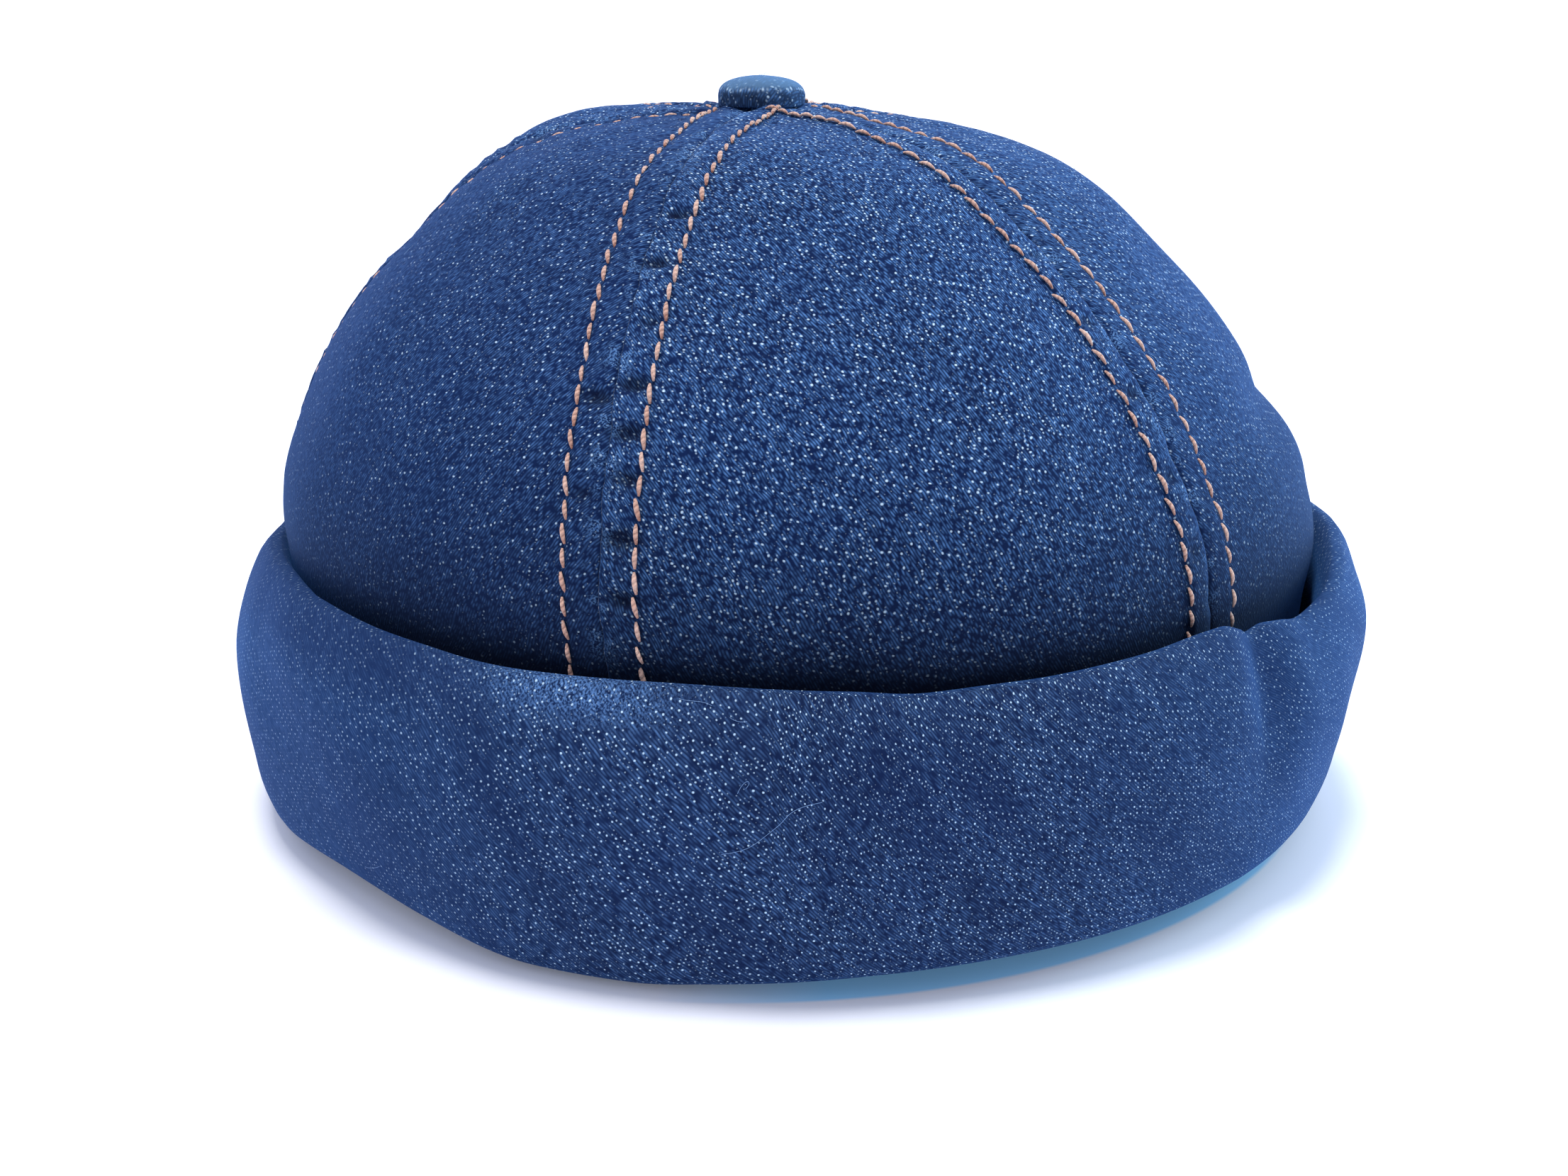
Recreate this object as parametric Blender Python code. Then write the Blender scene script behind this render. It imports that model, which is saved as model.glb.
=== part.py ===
"""Denim docker hat at real size in metres.

Six crown panels meet under a covered button, and one strip of the same cloth is turned up
around them as a soft cuff. +Z is up, the table is at z = 0 and -Y is the side with the two
seams that the photograph shows. Azimuths are in degrees from -Y and grow towards +X.
"""
import math

import bmesh
import bpy
import numpy as np

# Driving sizes in metres
CROWN_RADIUS = 0.0935
CROWN_HEIGHT = 0.1245
CROWN_CLOTH = 0.0012
CROWN_LEAN = 0.083
PANEL_START = 0.0110
PANEL_PUFF = 0.0012
TOP_HOLE_RADIUS = 0.0040
CUFF_HEIGHT = 0.0478
CUFF_STAND = 0.0105
CUFF_CLOTH = 0.0013
FOLD_LIFT = 0.0036
BUTTON_RADIUS = 0.0079
BUTTON_HEIGHT = 0.0053
SEAT_GAP = 0.0003

SEAM_AZIMUTHS = (-17.8, 44.6, 117.0, 168.0, 222.0, 272.5)

# Crown outline: height as a share of CROWN_HEIGHT, radius as a share of CROWN_RADIUS
CROWN_PROFILE = (
    (0.000, 0.985), (0.200, 0.991), (0.376, 0.997), (0.440, 1.000), (0.500, 0.990),
    (0.543, 0.972), (0.627, 0.920), (0.710, 0.847), (0.794, 0.748), (0.877, 0.618),
    (0.924, 0.528), (0.961, 0.408), (0.984, 0.260), (0.996, 0.120), (1.000, 0.000),
)

# Dents and swells of the crown: azimuth, height share, half width in degrees, half height
# share, and the depth as a share of CROWN_RADIUS (positive is outwards)
CROWN_RELIEF = (
    (82.0, 0.610, 26.0, 0.040, -0.0170),
    (80.0, 0.530, 26.0, 0.050, 0.0060),
    (92.0, 0.880, 26.0, 0.070, 0.0200),
    (-94.0, 0.830, 20.0, 0.045, -0.0180),
    (-122.0, 0.965, 36.0, 0.045, 0.0240),
    (-82.0, 0.620, 30.0, 0.200, -0.0090),
    (-60.0, 0.700, 18.0, 0.120, 0.0050),
    (14.0, 0.560, 20.0, 0.160, 0.0050),
    (-34.0, 0.440, 9.0, 0.050, -0.0050),
    (80.0, 0.410, 24.0, 0.060, 0.0130),
    (150.0, 0.560, 24.0, 0.090, 0.0100),
    (196.0, 0.660, 26.0, 0.070, -0.0110),
    (236.0, 0.520, 22.0, 0.100, 0.0090),
)

# Cuff path in one section, from the top of the hidden band down to the fold, up the outside,
# over the top and down inside the pocket: line, share across, share of CUFF_HEIGHT
CUFF_PATH = (
    ("band", 0.00, 0.480), ("band", 0.00, 0.260), ("band", 0.00, 0.100),
    ("fold", 0.05, 0.030), ("fold", 0.18, 0.000), ("fold", 0.44, 0.000),
    ("fold", 0.64, 0.034), ("fold", 0.78, 0.115), ("fold", 0.88, 0.260),
    ("fold", 0.97, 0.460), ("fold", 1.00, 0.650), ("pocket", 0.93, 0.790),
    ("pocket", 0.76, 0.890), ("pocket", 0.53, 0.962), ("pocket", 0.27, 1.000),
    ("pocket", 0.07, 0.965), ("pocket", 0.00, 0.860), ("pocket", 0.04, 0.660),
    ("pocket", 0.16, 0.400),
)

# Height of the cuff's top fold: azimuth and change as a share of CUFF_HEIGHT
CUFF_TOP = (
    (-180.0, 0.090), (-150.0, 0.060), (-120.0, 0.050), (-96.0, 0.030), (-76.0, 0.060),
    (-60.0, 0.085), (-48.0, 0.080), (-36.0, 0.055), (-24.0, 0.034), (-6.0, 0.036),
    (4.0, 0.030), (11.0, 0.010), (18.0, 0.018), (26.0, 0.030), (33.0, 0.042),
    (38.0, 0.052), (42.5, 0.060), (44.8, 0.042), (46.8, 0.006), (49.0, 0.026), (51.5, 0.018),
    (55.0, -0.004), (60.0, 0.014), (70.0, 0.050), (95.0, 0.060), (120.0, 0.040), (150.0, 0.075),
)

# Lift of the bottom fold off the table: azimuth and share of FOLD_LIFT
CUFF_LIFT = (
    (-180.0, 0.00), (-84.0, 0.00), (-68.0, 0.25), (-52.0, 0.80), (-38.0, 0.55), (-25.0, 0.00),
    (-15.0, 0.00), (-8.0, 0.25), (0.0, 0.50), (8.0, 0.75), (20.0, 0.95), (35.0, 1.05),
    (52.0, 1.10), (66.0, 0.95), (80.0, 0.45), (96.0, 0.00), (150.0, 0.00),
)

# Swells and creases of the cuff's outside: azimuth, height share, half width in degrees,
# half height share, depth as a share of CUFF_STAND
CUFF_RELIEF = (
    (46.8, 0.95, 3.4, 0.42, -0.24),
    (53.0, 0.80, 5.0, 0.40, 0.10),
    (41.0, 0.88, 4.6, 0.30, 0.09),
    (74.0, 0.80, 16.0, 0.30, 0.10),
    (12.0, 0.70, 8.0, 0.40, -0.06),
    (-54.0, 0.62, 7.0, 0.34, -0.08),
    (-47.0, 0.05, 15.0, 0.34, -0.30),
    (66.0, 0.05, 16.0, 0.34, -0.12),
    (-82.0, 0.90, 20.0, 0.28, -0.20),
    (-30.0, 0.45, 14.0, 0.50, 0.07),
    (118.0, 0.60, 9.0, 0.50, -0.15),
    (146.0, 0.55, 16.0, 0.50, 0.10),
    (-150.0, 0.60, 12.0, 0.50, -0.14),
    (-124.0, 0.55, 14.0, 0.50, 0.10),
)

# Push of the cuff's inner leg away from the crown: azimuth and share across the pocket
POCKET_OPEN = (
    (-180.0, 0.12), (-140.0, 0.04), (-104.0, -0.16), (-72.0, -0.18), (-58.0, -0.08),
    (-52.0, 0.10), (-46.0, 0.28), (-40.0, 0.35), (-33.0, 0.32), (-24.0, 0.24), (-12.0, 0.15),
    (10.0, 0.10), (32.0, 0.12), (38.0, 0.14), (43.0, 0.30), (49.0, 0.46), (60.0, 0.48),
    (74.0, 0.22), (90.0, 0.04), (120.0, 0.06), (150.0, 0.14),
)

# Button outline: radius as a share of BUTTON_RADIUS, height as a share of BUTTON_HEIGHT
BUTTON_PROFILE = (
    (0.870, 0.000), (0.965, 0.110), (1.000, 0.320), (0.975, 0.560), (0.880, 0.770),
    (0.700, 0.900), (0.450, 0.970), (0.210, 0.995),
)

PANEL_COLUMNS = (0.0, 0.05, 0.14, 0.26, 0.38, 0.50, 0.62, 0.74, 0.86, 0.95, 1.0)
PANEL_ROWS = (
    0.00, 0.09, 0.17, 0.235, 0.29, 0.345, 0.40, 0.46, 0.52, 0.58, 0.64, 0.70, 0.76,
    0.82, 0.88, 0.94, 1.00,
)
CUFF_STEP = 5.625
NOTCH_AZIMUTHS = (40.5, 42.8, 44.8, 46.8, 48.8, 51.2, 54.5)
BUTTON_SIDES = 24


def ease(rows, x):
    """Monotone cubic through the rows (x, y), held at both ends."""
    xs = np.array([row[0] for row in rows], float)
    ys = np.array([row[1] for row in rows], float)
    step = np.diff(xs)
    slope = np.diff(ys) / step
    tangent = np.zeros(len(xs))
    for i in range(1, len(xs) - 1):
        if slope[i - 1] * slope[i] > 0:
            left, right = 2 * step[i] + step[i - 1], step[i] + 2 * step[i - 1]
            tangent[i] = (left + right) / (left / slope[i - 1] + right / slope[i])
    tangent[0], tangent[-1] = slope[0], slope[-1]
    x = min(max(x, xs[0]), xs[-1])
    i = min(int(np.searchsorted(xs, x, side="right")) - 1, len(step) - 1)
    t = (x - xs[i]) / step[i]
    a = (1 + 2 * t) * (1 - t) ** 2 * ys[i] + t * (1 - t) ** 2 * step[i] * tangent[i]
    b = t * t * (3 - 2 * t) * ys[i + 1] + t * t * (t - 1) * step[i] * tangent[i + 1]
    return float(a + b)


def around(rows, azimuth):
    """Value of a table that goes once around the hat."""
    turned = (azimuth + 180.0) % 360.0 - 180.0
    looped = ((rows[-1][0] - 360.0, rows[-1][1]),) + tuple(rows) + ((rows[0][0] + 360.0, rows[0][1]),)
    return ease(looped, turned)


def relief(rows, azimuth, height_share):
    """Sum of the soft round bumps at one place."""
    total = 0.0
    for centre, level, half_width, half_height, depth in rows:
        apart = (azimuth - centre + 180.0) % 360.0 - 180.0
        reach = (apart / half_width) ** 2 + ((height_share - level) / half_height) ** 2
        total += depth * math.exp(-1.2 * reach)
    return total


def polar(centre_x, radius, azimuth, height):
    """Point at a radius and azimuth about an upright axis."""
    turn = math.radians(azimuth)
    return (centre_x + radius * math.sin(turn), -radius * math.cos(turn), height)


def lean_at(height):
    """Sideways place of the crown's axis, which leans to -X above the cuff."""
    return -CROWN_LEAN * max(0.0, height - CUFF_HEIGHT)


def crown_length():
    """Points along the crown's outline with the length up to each, as shares."""
    heights = np.linspace(PANEL_START / CROWN_HEIGHT, 1.0, 241)
    radii = np.array([ease(CROWN_PROFILE, h) for h in heights]) * CROWN_RADIUS
    levels = heights * CROWN_HEIGHT
    # The last stretch is nearly flat, so it is spread by radius and not by height
    flat = np.linspace(radii[-2], TOP_HOLE_RADIUS, 12)[1:]
    levels = np.concatenate([levels[:-1], np.linspace(levels[-2], levels[-1], 12)[1:]])
    radii = np.concatenate([radii[:-1], flat])
    run = np.concatenate([[0.0], np.cumsum(np.hypot(np.diff(radii), np.diff(levels)))])
    return radii, levels, run / run[-1]


def nearest_seams(azimuth):
    """Share of the way across the panel that holds this azimuth."""
    seams = list(SEAM_AZIMUTHS) + [SEAM_AZIMUTHS[0] + 360.0]
    turned = (azimuth - seams[0]) % 360.0 + seams[0]
    for start, end in zip(seams, seams[1:]):
        if start <= turned <= end:
            return (turned - start) / (end - start)
    return 0.0


def crown_swell(azimuth, height):
    """How far the crown stands off its plain outline here, in metres."""
    share = height / CROWN_HEIGHT
    across = nearest_seams(azimuth)
    rise = min(1.0, max(0.0, (share - 0.12) / 0.25)) * min(1.0, max(0.0, (1.0 - share) / 0.03))
    puff = PANEL_PUFF * (math.sin(math.pi * across) ** 0.8 - 0.45) * rise
    return puff + relief(CROWN_RELIEF, azimuth, share) * CROWN_RADIUS * rise


def crown_face(azimuth, height):
    """Radius of the crown's outer face about its leaning axis at a height below the top."""
    return ease(CROWN_PROFILE, height / CROWN_HEIGHT) * CROWN_RADIUS + crown_swell(azimuth, height)


def panel_grids(start, end):
    """Outer and inner point grids of the panel between two seam azimuths."""
    radii, levels, run = crown_length()
    outer, inner = [], []
    for share in PANEL_ROWS:
        radius = float(np.interp(share, run, radii))
        height = float(np.interp(share, run, levels))
        ahead, back = min(share + 0.01, 1.0), max(share - 0.01, 0.0)
        d_radius = float(np.interp(ahead, run, radii) - np.interp(back, run, radii))
        d_height = float(np.interp(ahead, run, levels) - np.interp(back, run, levels))
        size = math.hypot(d_radius, d_height)
        out_r, out_z = d_height / size, -d_radius / size
        if share == PANEL_ROWS[-1]:
            out_r, out_z = 0.0, 1.0
        trim = math.degrees(math.asin(SEAT_GAP / 2 / (radius - CROWN_CLOTH * out_r)))
        outer_row, inner_row = [], []
        for column in PANEL_COLUMNS:
            azimuth = start + trim + (end - start - 2 * trim) * column
            swell = crown_swell(azimuth, height)
            for row, depth in ((outer_row, swell), (inner_row, swell - CROWN_CLOTH)):
                spot = height + depth * out_z
                row.append(polar(lean_at(height), radius + depth * out_r, azimuth, spot))
        outer.append(outer_row)
        inner.append(inner_row)
    return outer, inner


def cuff_line(azimuth, line, across, level):
    """One point of the cuff's middle line: radius about the table axis, and height."""
    top = CUFF_HEIGHT * (1.0 + around(CUFF_TOP, azimuth)) - CUFF_CLOTH
    lift = FOLD_LIFT * around(CUFF_LIFT, azimuth) * (1.0 - min(level / 0.9, 1.0)) ** 1.5
    height = CUFF_CLOTH / 2 + level * top + lift
    shift = lean_at(height) * math.sin(math.radians(azimuth))
    face = crown_face(azimuth, height) + shift
    band = face - CROWN_CLOTH - SEAT_GAP - CUFF_CLOTH / 2
    wall = CROWN_RADIUS + CUFF_STAND - CUFF_CLOTH / 2
    wall += CUFF_STAND * relief(CUFF_RELIEF, azimuth, level)
    near = face + SEAT_GAP + CUFF_CLOTH / 2
    if line == "band":
        return band, height
    if line == "fold":
        return band + across * (wall - band), height
    opened = around(POCKET_OPEN, azimuth) * (1.0 - across) ** 1.5
    return near + max(0.0, across + opened) * (wall - near), height


def cuff_loop(azimuth):
    """Closed outline of the cuff strip in one section, as points in space."""
    path = np.array([cuff_line(azimuth, *row) for row in CUFF_PATH])
    ahead = np.vstack([path[1:] - path[:-1], path[-1:] - path[-2:-1]])
    back = np.vstack([path[1:2] - path[:1], path[1:] - path[:-1]])
    ahead /= np.linalg.norm(ahead, axis=1)[:, None]
    back /= np.linalg.norm(back, axis=1)[:, None]
    along = ahead + back
    along /= np.linalg.norm(along, axis=1)[:, None]
    side = np.column_stack([along[:, 1], -along[:, 0]])
    facing = np.column_stack([ahead[:, 1], -ahead[:, 0]])
    reach = CUFF_CLOTH / 2 / np.maximum(0.75, (side * facing).sum(axis=1))
    left = path - side * reach[:, None]
    right = path + side * reach[:, None]
    lift = FOLD_LIFT * around(CUFF_LIFT, azimuth)
    for number, (line, _, level) in enumerate(CUFF_PATH):
        if line == "fold" and level == 0.0:
            left[number, 1] = lift + CUFF_CLOTH
            right[number, 1] = lift
    closed = np.vstack([left, right[::-1]])
    return [polar(0.0, radius, azimuth, height) for radius, height in closed]


def cuff_azimuths():
    """Sections around the cuff, closer together at the crease on the right."""
    plain = [i * CUFF_STEP - 180.0 for i in range(int(round(360.0 / CUFF_STEP)))]
    kept = [a for a in plain if all(abs(a - n) > 1.6 for n in NOTCH_AZIMUTHS)]
    return sorted(kept + list(NOTCH_AZIMUTHS))


def new_object(name, points, faces, material):
    """Link a mesh with its faces turned outwards."""
    mesh = bpy.data.meshes.new(name)
    mesh.from_pydata(points, [], faces)
    work = bmesh.new()
    work.from_mesh(mesh)
    bmesh.ops.recalc_face_normals(work, faces=work.faces[:])
    work.to_mesh(mesh)
    work.free()
    mesh.materials.append(material)
    mesh.shade_smooth()
    mesh.set_sharp_from_angle(angle=math.radians(40.0))
    item = bpy.data.objects.new(name, mesh)
    bpy.context.scene.collection.objects.link(item)
    return item


def sheet_solid(name, outer, inner, material):
    """Thin closed solid between two grids of the same size."""
    rows, columns = len(outer), len(outer[0])
    points = [p for row in outer for p in row] + [p for row in inner for p in row]
    below = rows * columns
    faces = []
    for i in range(rows - 1):
        for j in range(columns - 1):
            a, b = i * columns + j, i * columns + j + 1
            c, d = b + columns, a + columns
            faces.append((a, b, c, d))
            faces.append((below + d, below + c, below + b, below + a))
    rim = [(0, j) for j in range(columns)] + [(i, columns - 1) for i in range(1, rows)]
    rim += [(rows - 1, j) for j in range(columns - 2, -1, -1)] + [(i, 0) for i in range(rows - 2, 0, -1)]
    for (i, j), (k, m) in zip(rim, rim[1:] + rim[:1]):
        a, b = i * columns + j, k * columns + m
        faces.append((a, below + a, below + b, b))
    return new_object(name, points, faces, material)


def ring_solid(name, loops, material):
    """Closed ring through equal closed loops."""
    count, size = len(loops), len(loops[0])
    points = [p for loop in loops for p in loop]
    faces = []
    for i in range(count):
        for k in range(size):
            a, b = i * size + k, i * size + (k + 1) % size
            c, d = ((i + 1) % count) * size + (k + 1) % size, ((i + 1) % count) * size + k
            faces.append((a, b, c, d))
    return new_object(name, points, faces, material)


def button_solid(material):
    """Covered button with the short stem that closes the hole between the panels."""
    seat = CROWN_HEIGHT + SEAT_GAP
    stem = TOP_HOLE_RADIUS - SEAT_GAP
    outline = [(stem, CROWN_HEIGHT - CROWN_CLOTH), (stem, seat)]
    outline += [(BUTTON_RADIUS * r, seat + BUTTON_HEIGHT * h) for r, h in BUTTON_PROFILE]
    centre = lean_at(CROWN_HEIGHT)
    points, faces = [], []
    for radius, height in outline:
        for k in range(BUTTON_SIDES):
            points.append(polar(centre, radius, 360.0 * k / BUTTON_SIDES, height))
    for i in range(len(outline) - 1):
        for k in range(BUTTON_SIDES):
            a, b = i * BUTTON_SIDES + k, i * BUTTON_SIDES + (k + 1) % BUTTON_SIDES
            faces.append((a, b, b + BUTTON_SIDES, a + BUTTON_SIDES))
    last = (len(outline) - 1) * BUTTON_SIDES
    foot, tip = len(points), len(points) + 1
    points.append((centre, 0.0, outline[0][1]))
    points.append((centre, 0.0, seat + BUTTON_HEIGHT))
    for k in range(BUTTON_SIDES):
        n = (k + 1) % BUTTON_SIDES
        faces.append((foot, n, k))
        faces.append((tip, last + k, last + n))
    return new_object("button", points, faces, material)


def cloth_material(name, colour, roughness):
    """Principled material of one piece."""
    material = bpy.data.materials.new(name)
    material.use_nodes = True
    shader = material.node_tree.nodes["Principled BSDF"]
    shader.inputs["Base Color"].default_value = colour
    shader.inputs["Roughness"].default_value = roughness
    shader.inputs["Metallic"].default_value = 0.0
    return material


def centre_on_table(items):
    """Move every piece so that the hat stands on z = 0 around the origin."""
    spots = np.array([v.co[:] for item in items for v in item.data.vertices])
    low, high = spots.min(axis=0), spots.max(axis=0)
    move = (-(low[0] + high[0]) / 2, -(low[1] + high[1]) / 2, -low[2])
    for item in items:
        for vertex in item.data.vertices:
            vertex.co.x += move[0]
            vertex.co.y += move[1]
            vertex.co.z += move[2]


def main():
    """Build the eight pieces."""
    for item in list(bpy.data.objects):
        bpy.data.objects.remove(item, do_unlink=True)
    items = []
    seams = list(SEAM_AZIMUTHS) + [SEAM_AZIMUTHS[0] + 360.0]
    for number, (start, end) in enumerate(zip(seams, seams[1:]), start=1):
        name = f"crown_panel_{number}"
        cloth = cloth_material(f"denim_{name}", (0.026, 0.058, 0.160, 1.0), 0.85)
        items.append(sheet_solid(name, *panel_grids(start, end), cloth))
    cuff_cloth = cloth_material("denim_cuff", (0.024, 0.054, 0.150, 1.0), 0.85)
    items.append(ring_solid("cuff", [cuff_loop(a) for a in cuff_azimuths()], cuff_cloth))
    items.append(button_solid(cloth_material("denim_button", (0.045, 0.090, 0.210, 1.0), 0.8)))
    centre_on_table(items)


main()
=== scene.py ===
"""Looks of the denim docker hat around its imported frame.

The crown's gores, the turned-up cuff and the covered button are made again as fine cloth over
the frame's plain solids. Azimuths are in degrees from -Y and grow towards +X, and every length
is in metres unless its name says otherwise.
"""

import logging
import math
from collections.abc import Callable
from dataclasses import dataclass
from enum import Enum

import bmesh
import bpy
import numpy as np
from mathutils import Euler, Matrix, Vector


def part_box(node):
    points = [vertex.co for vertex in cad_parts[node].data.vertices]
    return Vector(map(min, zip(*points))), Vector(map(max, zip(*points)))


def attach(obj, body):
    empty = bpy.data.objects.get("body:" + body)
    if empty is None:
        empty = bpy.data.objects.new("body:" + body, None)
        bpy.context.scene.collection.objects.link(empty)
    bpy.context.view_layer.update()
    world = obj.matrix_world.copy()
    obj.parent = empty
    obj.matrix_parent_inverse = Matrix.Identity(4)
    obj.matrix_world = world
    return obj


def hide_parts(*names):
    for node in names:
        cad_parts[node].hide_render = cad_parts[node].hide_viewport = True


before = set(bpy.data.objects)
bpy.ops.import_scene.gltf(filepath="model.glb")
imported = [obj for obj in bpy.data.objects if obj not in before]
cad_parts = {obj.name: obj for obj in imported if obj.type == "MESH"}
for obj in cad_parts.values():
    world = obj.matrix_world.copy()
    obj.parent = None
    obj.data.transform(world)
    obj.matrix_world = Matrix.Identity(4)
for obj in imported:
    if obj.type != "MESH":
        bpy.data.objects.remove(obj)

log = logging.getLogger("docker_hat")

Array = np.ndarray
Rows = tuple[tuple[float, ...], ...]
Spot = tuple[float, float, float]
Colour = tuple[float, float, float]
MM = 1000.0
WHOLE_TURN = 2 * math.pi

# Seams whose stitches lie proud of the cloth; those of the others are half sunk in it
PROUD_SEAMS = (1, 2, 4)
PROUD_LIFT = 0.00048
SUNK_LIFT = -0.00022
# The gore at the left of the photo, whose cloth is cut the other way round
# Its cloth is also painted darker than the other gores', as shade on that side of the crown
LEFT_GORE = 6


class Side(Enum):
    """Side of a seam, seen from outside the hat."""

    LEFT = -1
    RIGHT = 1


def paint(red: float, green: float, blue: float) -> tuple[float, float, float, float]:
    """Linear colour of a screen colour.

    Args:
        red: Red from 0 to 255.
        green: Green from 0 to 255.
        blue: Blue from 0 to 255.

    Returns:
        The linear colour with full alpha.
    """
    parts = [c / 255.0 for c in (red, green, blue)]
    linear = [c / 12.92 if c < 0.04045 else ((c + 0.055) / 1.055) ** 2.4 for c in parts]
    return (linear[0], linear[1], linear[2], 1.0)


def turned(angle: Array, centre: Array | float = 0.0) -> Array:
    """Angle from a centre, in degrees from -180 to 180."""
    return np.mod(angle - centre + 180.0, 360.0) - 180.0


def layers(*parts: Array) -> Array:
    """Arrays stretched to one shape and laid side by side along a new last axis."""
    return np.stack(np.broadcast_arrays(*parts), axis=-1)


def cubic(t: Array, step: Array, ends: tuple[Array, Array], slopes: tuple[Array, Array]) -> Array:
    """Cubic between two knots.

    Args:
        t: Share of the way between the knots.
        step: Distance between them.
        ends: Values at the knots.
        slopes: Slopes at the knots.

    Returns:
        The cubic's value.
    """
    start = (1 + 2 * t) * (1 - t) ** 2 * ends[0] + t * (1 - t) ** 2 * step * slopes[0]
    end = t * t * (3 - 2 * t) * ends[1] + t * t * (t - 1) * step * slopes[1]
    return start + end


def ease(rows: Rows, x: Array) -> Array:
    """Monotone cubic through the rows, held at both ends.

    Args:
        rows: Pairs of x and y with growing x.
        x: Where the curve is read.

    Returns:
        The curve's values.
    """
    xs, ys = np.array(rows, float).T
    step = np.diff(xs)
    slope = np.diff(ys) / step
    tangent = np.zeros_like(xs)
    for i in range(1, len(xs) - 1):
        if slope[i - 1] * slope[i] > 0:
            left, right = 2 * step[i] + step[i - 1], step[i] + 2 * step[i - 1]
            tangent[i] = (left + right) / (left / slope[i - 1] + right / slope[i])
    tangent[0], tangent[-1] = slope[0], slope[-1]
    x = np.clip(x, xs[0], xs[-1])
    i = np.clip(np.searchsorted(xs, x, side="right") - 1, 0, len(step) - 1)
    t = (x - xs[i]) / step[i]
    return cubic(t, step[i], (ys[i], ys[i + 1]), (tangent[i], tangent[i + 1]))


def around(rows: Rows, azimuth: Array) -> Array:
    """Value of a table that goes once around the hat.

    Args:
        rows: Pairs of azimuth and value from -180 degrees.
        azimuth: Where the table is read.

    Returns:
        The table's values.
    """
    before = (rows[-1][0] - 360.0, rows[-1][1])
    after = (rows[0][0] + 360.0, rows[0][1])
    return ease((before, *rows, after), turned(azimuth))


def relief(rows: Rows, azimuth: Array, level: Array) -> Array:
    """Sum of soft round bumps.

    Args:
        rows: Azimuth, level, half width in degrees, half height and depth of each bump.
        azimuth: Where the sum is read.
        level: Level there, in the rows' own measure.

    Returns:
        The summed depth.
    """
    total = np.zeros(np.broadcast(azimuth, level).shape)
    for centre, height, half_width, half_height, depth in rows:
        apart = turned(azimuth, centre)
        reach = (apart / half_width) ** 2 + ((level - height) / half_height) ** 2
        total = total + depth * np.exp(-1.2 * reach)
    return total


def polar(centre_x: Array, radius: Array, azimuth: Array, height: Array) -> Array:
    """Points at a radius and azimuth about an upright axis at centre_x, and at a height."""
    turn = np.radians(azimuth)
    return layers(centre_x + radius * np.sin(turn), -radius * np.cos(turn), height + 0 * turn)


def ripple(run: Array, pitch: float, seed: int) -> Array:
    """Uneven wave along a length.

    Args:
        run: Length along the cloth.
        pitch: Mean distance from crest to crest.
        seed: Seed of the wave's phases.

    Returns:
        Values of about -1 to 1.
    """
    rng = np.random.default_rng(seed)
    total = np.zeros(np.shape(run))
    for share, height in ((1.0, 0.5), (1.37, 0.3), (0.61, 0.3), (2.3, 0.15)):
        phase = rng.uniform(0, 2 * math.pi)
        total = total + height * np.sin(2 * math.pi * share * run / pitch + phase)
    return total


def fall(x: Array, start: float, end: float) -> Array:
    """Smooth step from one at start to nothing at end."""
    t = np.clip((x - start) / (end - start), 0, 1)
    return 1 - t * t * (3 - 2 * t)


def arithmetic(operation: str, swapped: bool = False) -> Callable[["Value", object], "Value"]:
    """Method of Value that works one of Python's operators out in a Math node.

    Args:
        operation: The node's operation.
        swapped: Whether the other number stands first.

    Returns:
        The method.
    """

    def work(value: "Value", other: "Value | float") -> "Value":
        """Put both numbers in their order through the node."""
        pair = (other, value) if swapped else (value, other)
        return value.bench.maths(operation, *pair)

    return work


class Value:
    """A number socket that takes part in Python expressions."""

    __add__, __radd__ = arithmetic("ADD"), arithmetic("ADD", swapped=True)
    __sub__, __rsub__ = arithmetic("SUBTRACT"), arithmetic("SUBTRACT", swapped=True)
    __mul__, __rmul__ = arithmetic("MULTIPLY"), arithmetic("MULTIPLY", swapped=True)
    __truediv__, __pow__ = arithmetic("DIVIDE"), arithmetic("POWER")

    def __init__(self, bench: "Bench", socket: bpy.types.NodeSocket) -> None:
        """Wrap a socket of the bench's tree."""
        self.bench = bench
        self.socket = socket

    def floor(self) -> "Value":
        """Whole number below."""
        return self.bench.maths("FLOOR", self, 0.0)

    def fract(self) -> "Value":
        """Part above the whole number below."""
        return self.bench.maths("FRACT", self, 0.0)

    def size(self) -> "Value":
        """Number without its sign."""
        return self.bench.maths("ABSOLUTE", self, 0.0)

    def least(self, other: float) -> "Value":
        """Number held at or above a floor."""
        return self.bench.maths("MAXIMUM", self, other)

    def most(self, other: float) -> "Value":
        """Number held at or below a ceiling."""
        return self.bench.maths("MINIMUM", self, other)

    def under(self, other: "Value | float") -> "Value":
        """One where this is less than the other, else nothing."""
        return self.bench.maths("LESS_THAN", self, other)

    def kept(self) -> "Value":
        """Number held between 0 and 1."""
        return self.least(0.0).most(1.0)

    def bell(self, centre: float, width: float) -> "Value":
        """Soft peak of height one, which falls to about a third at its width."""
        apart = (self - centre) / width
        return self.bench.maths("EXPONENT", (apart * apart) * -1.0, 0.0)


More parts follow.
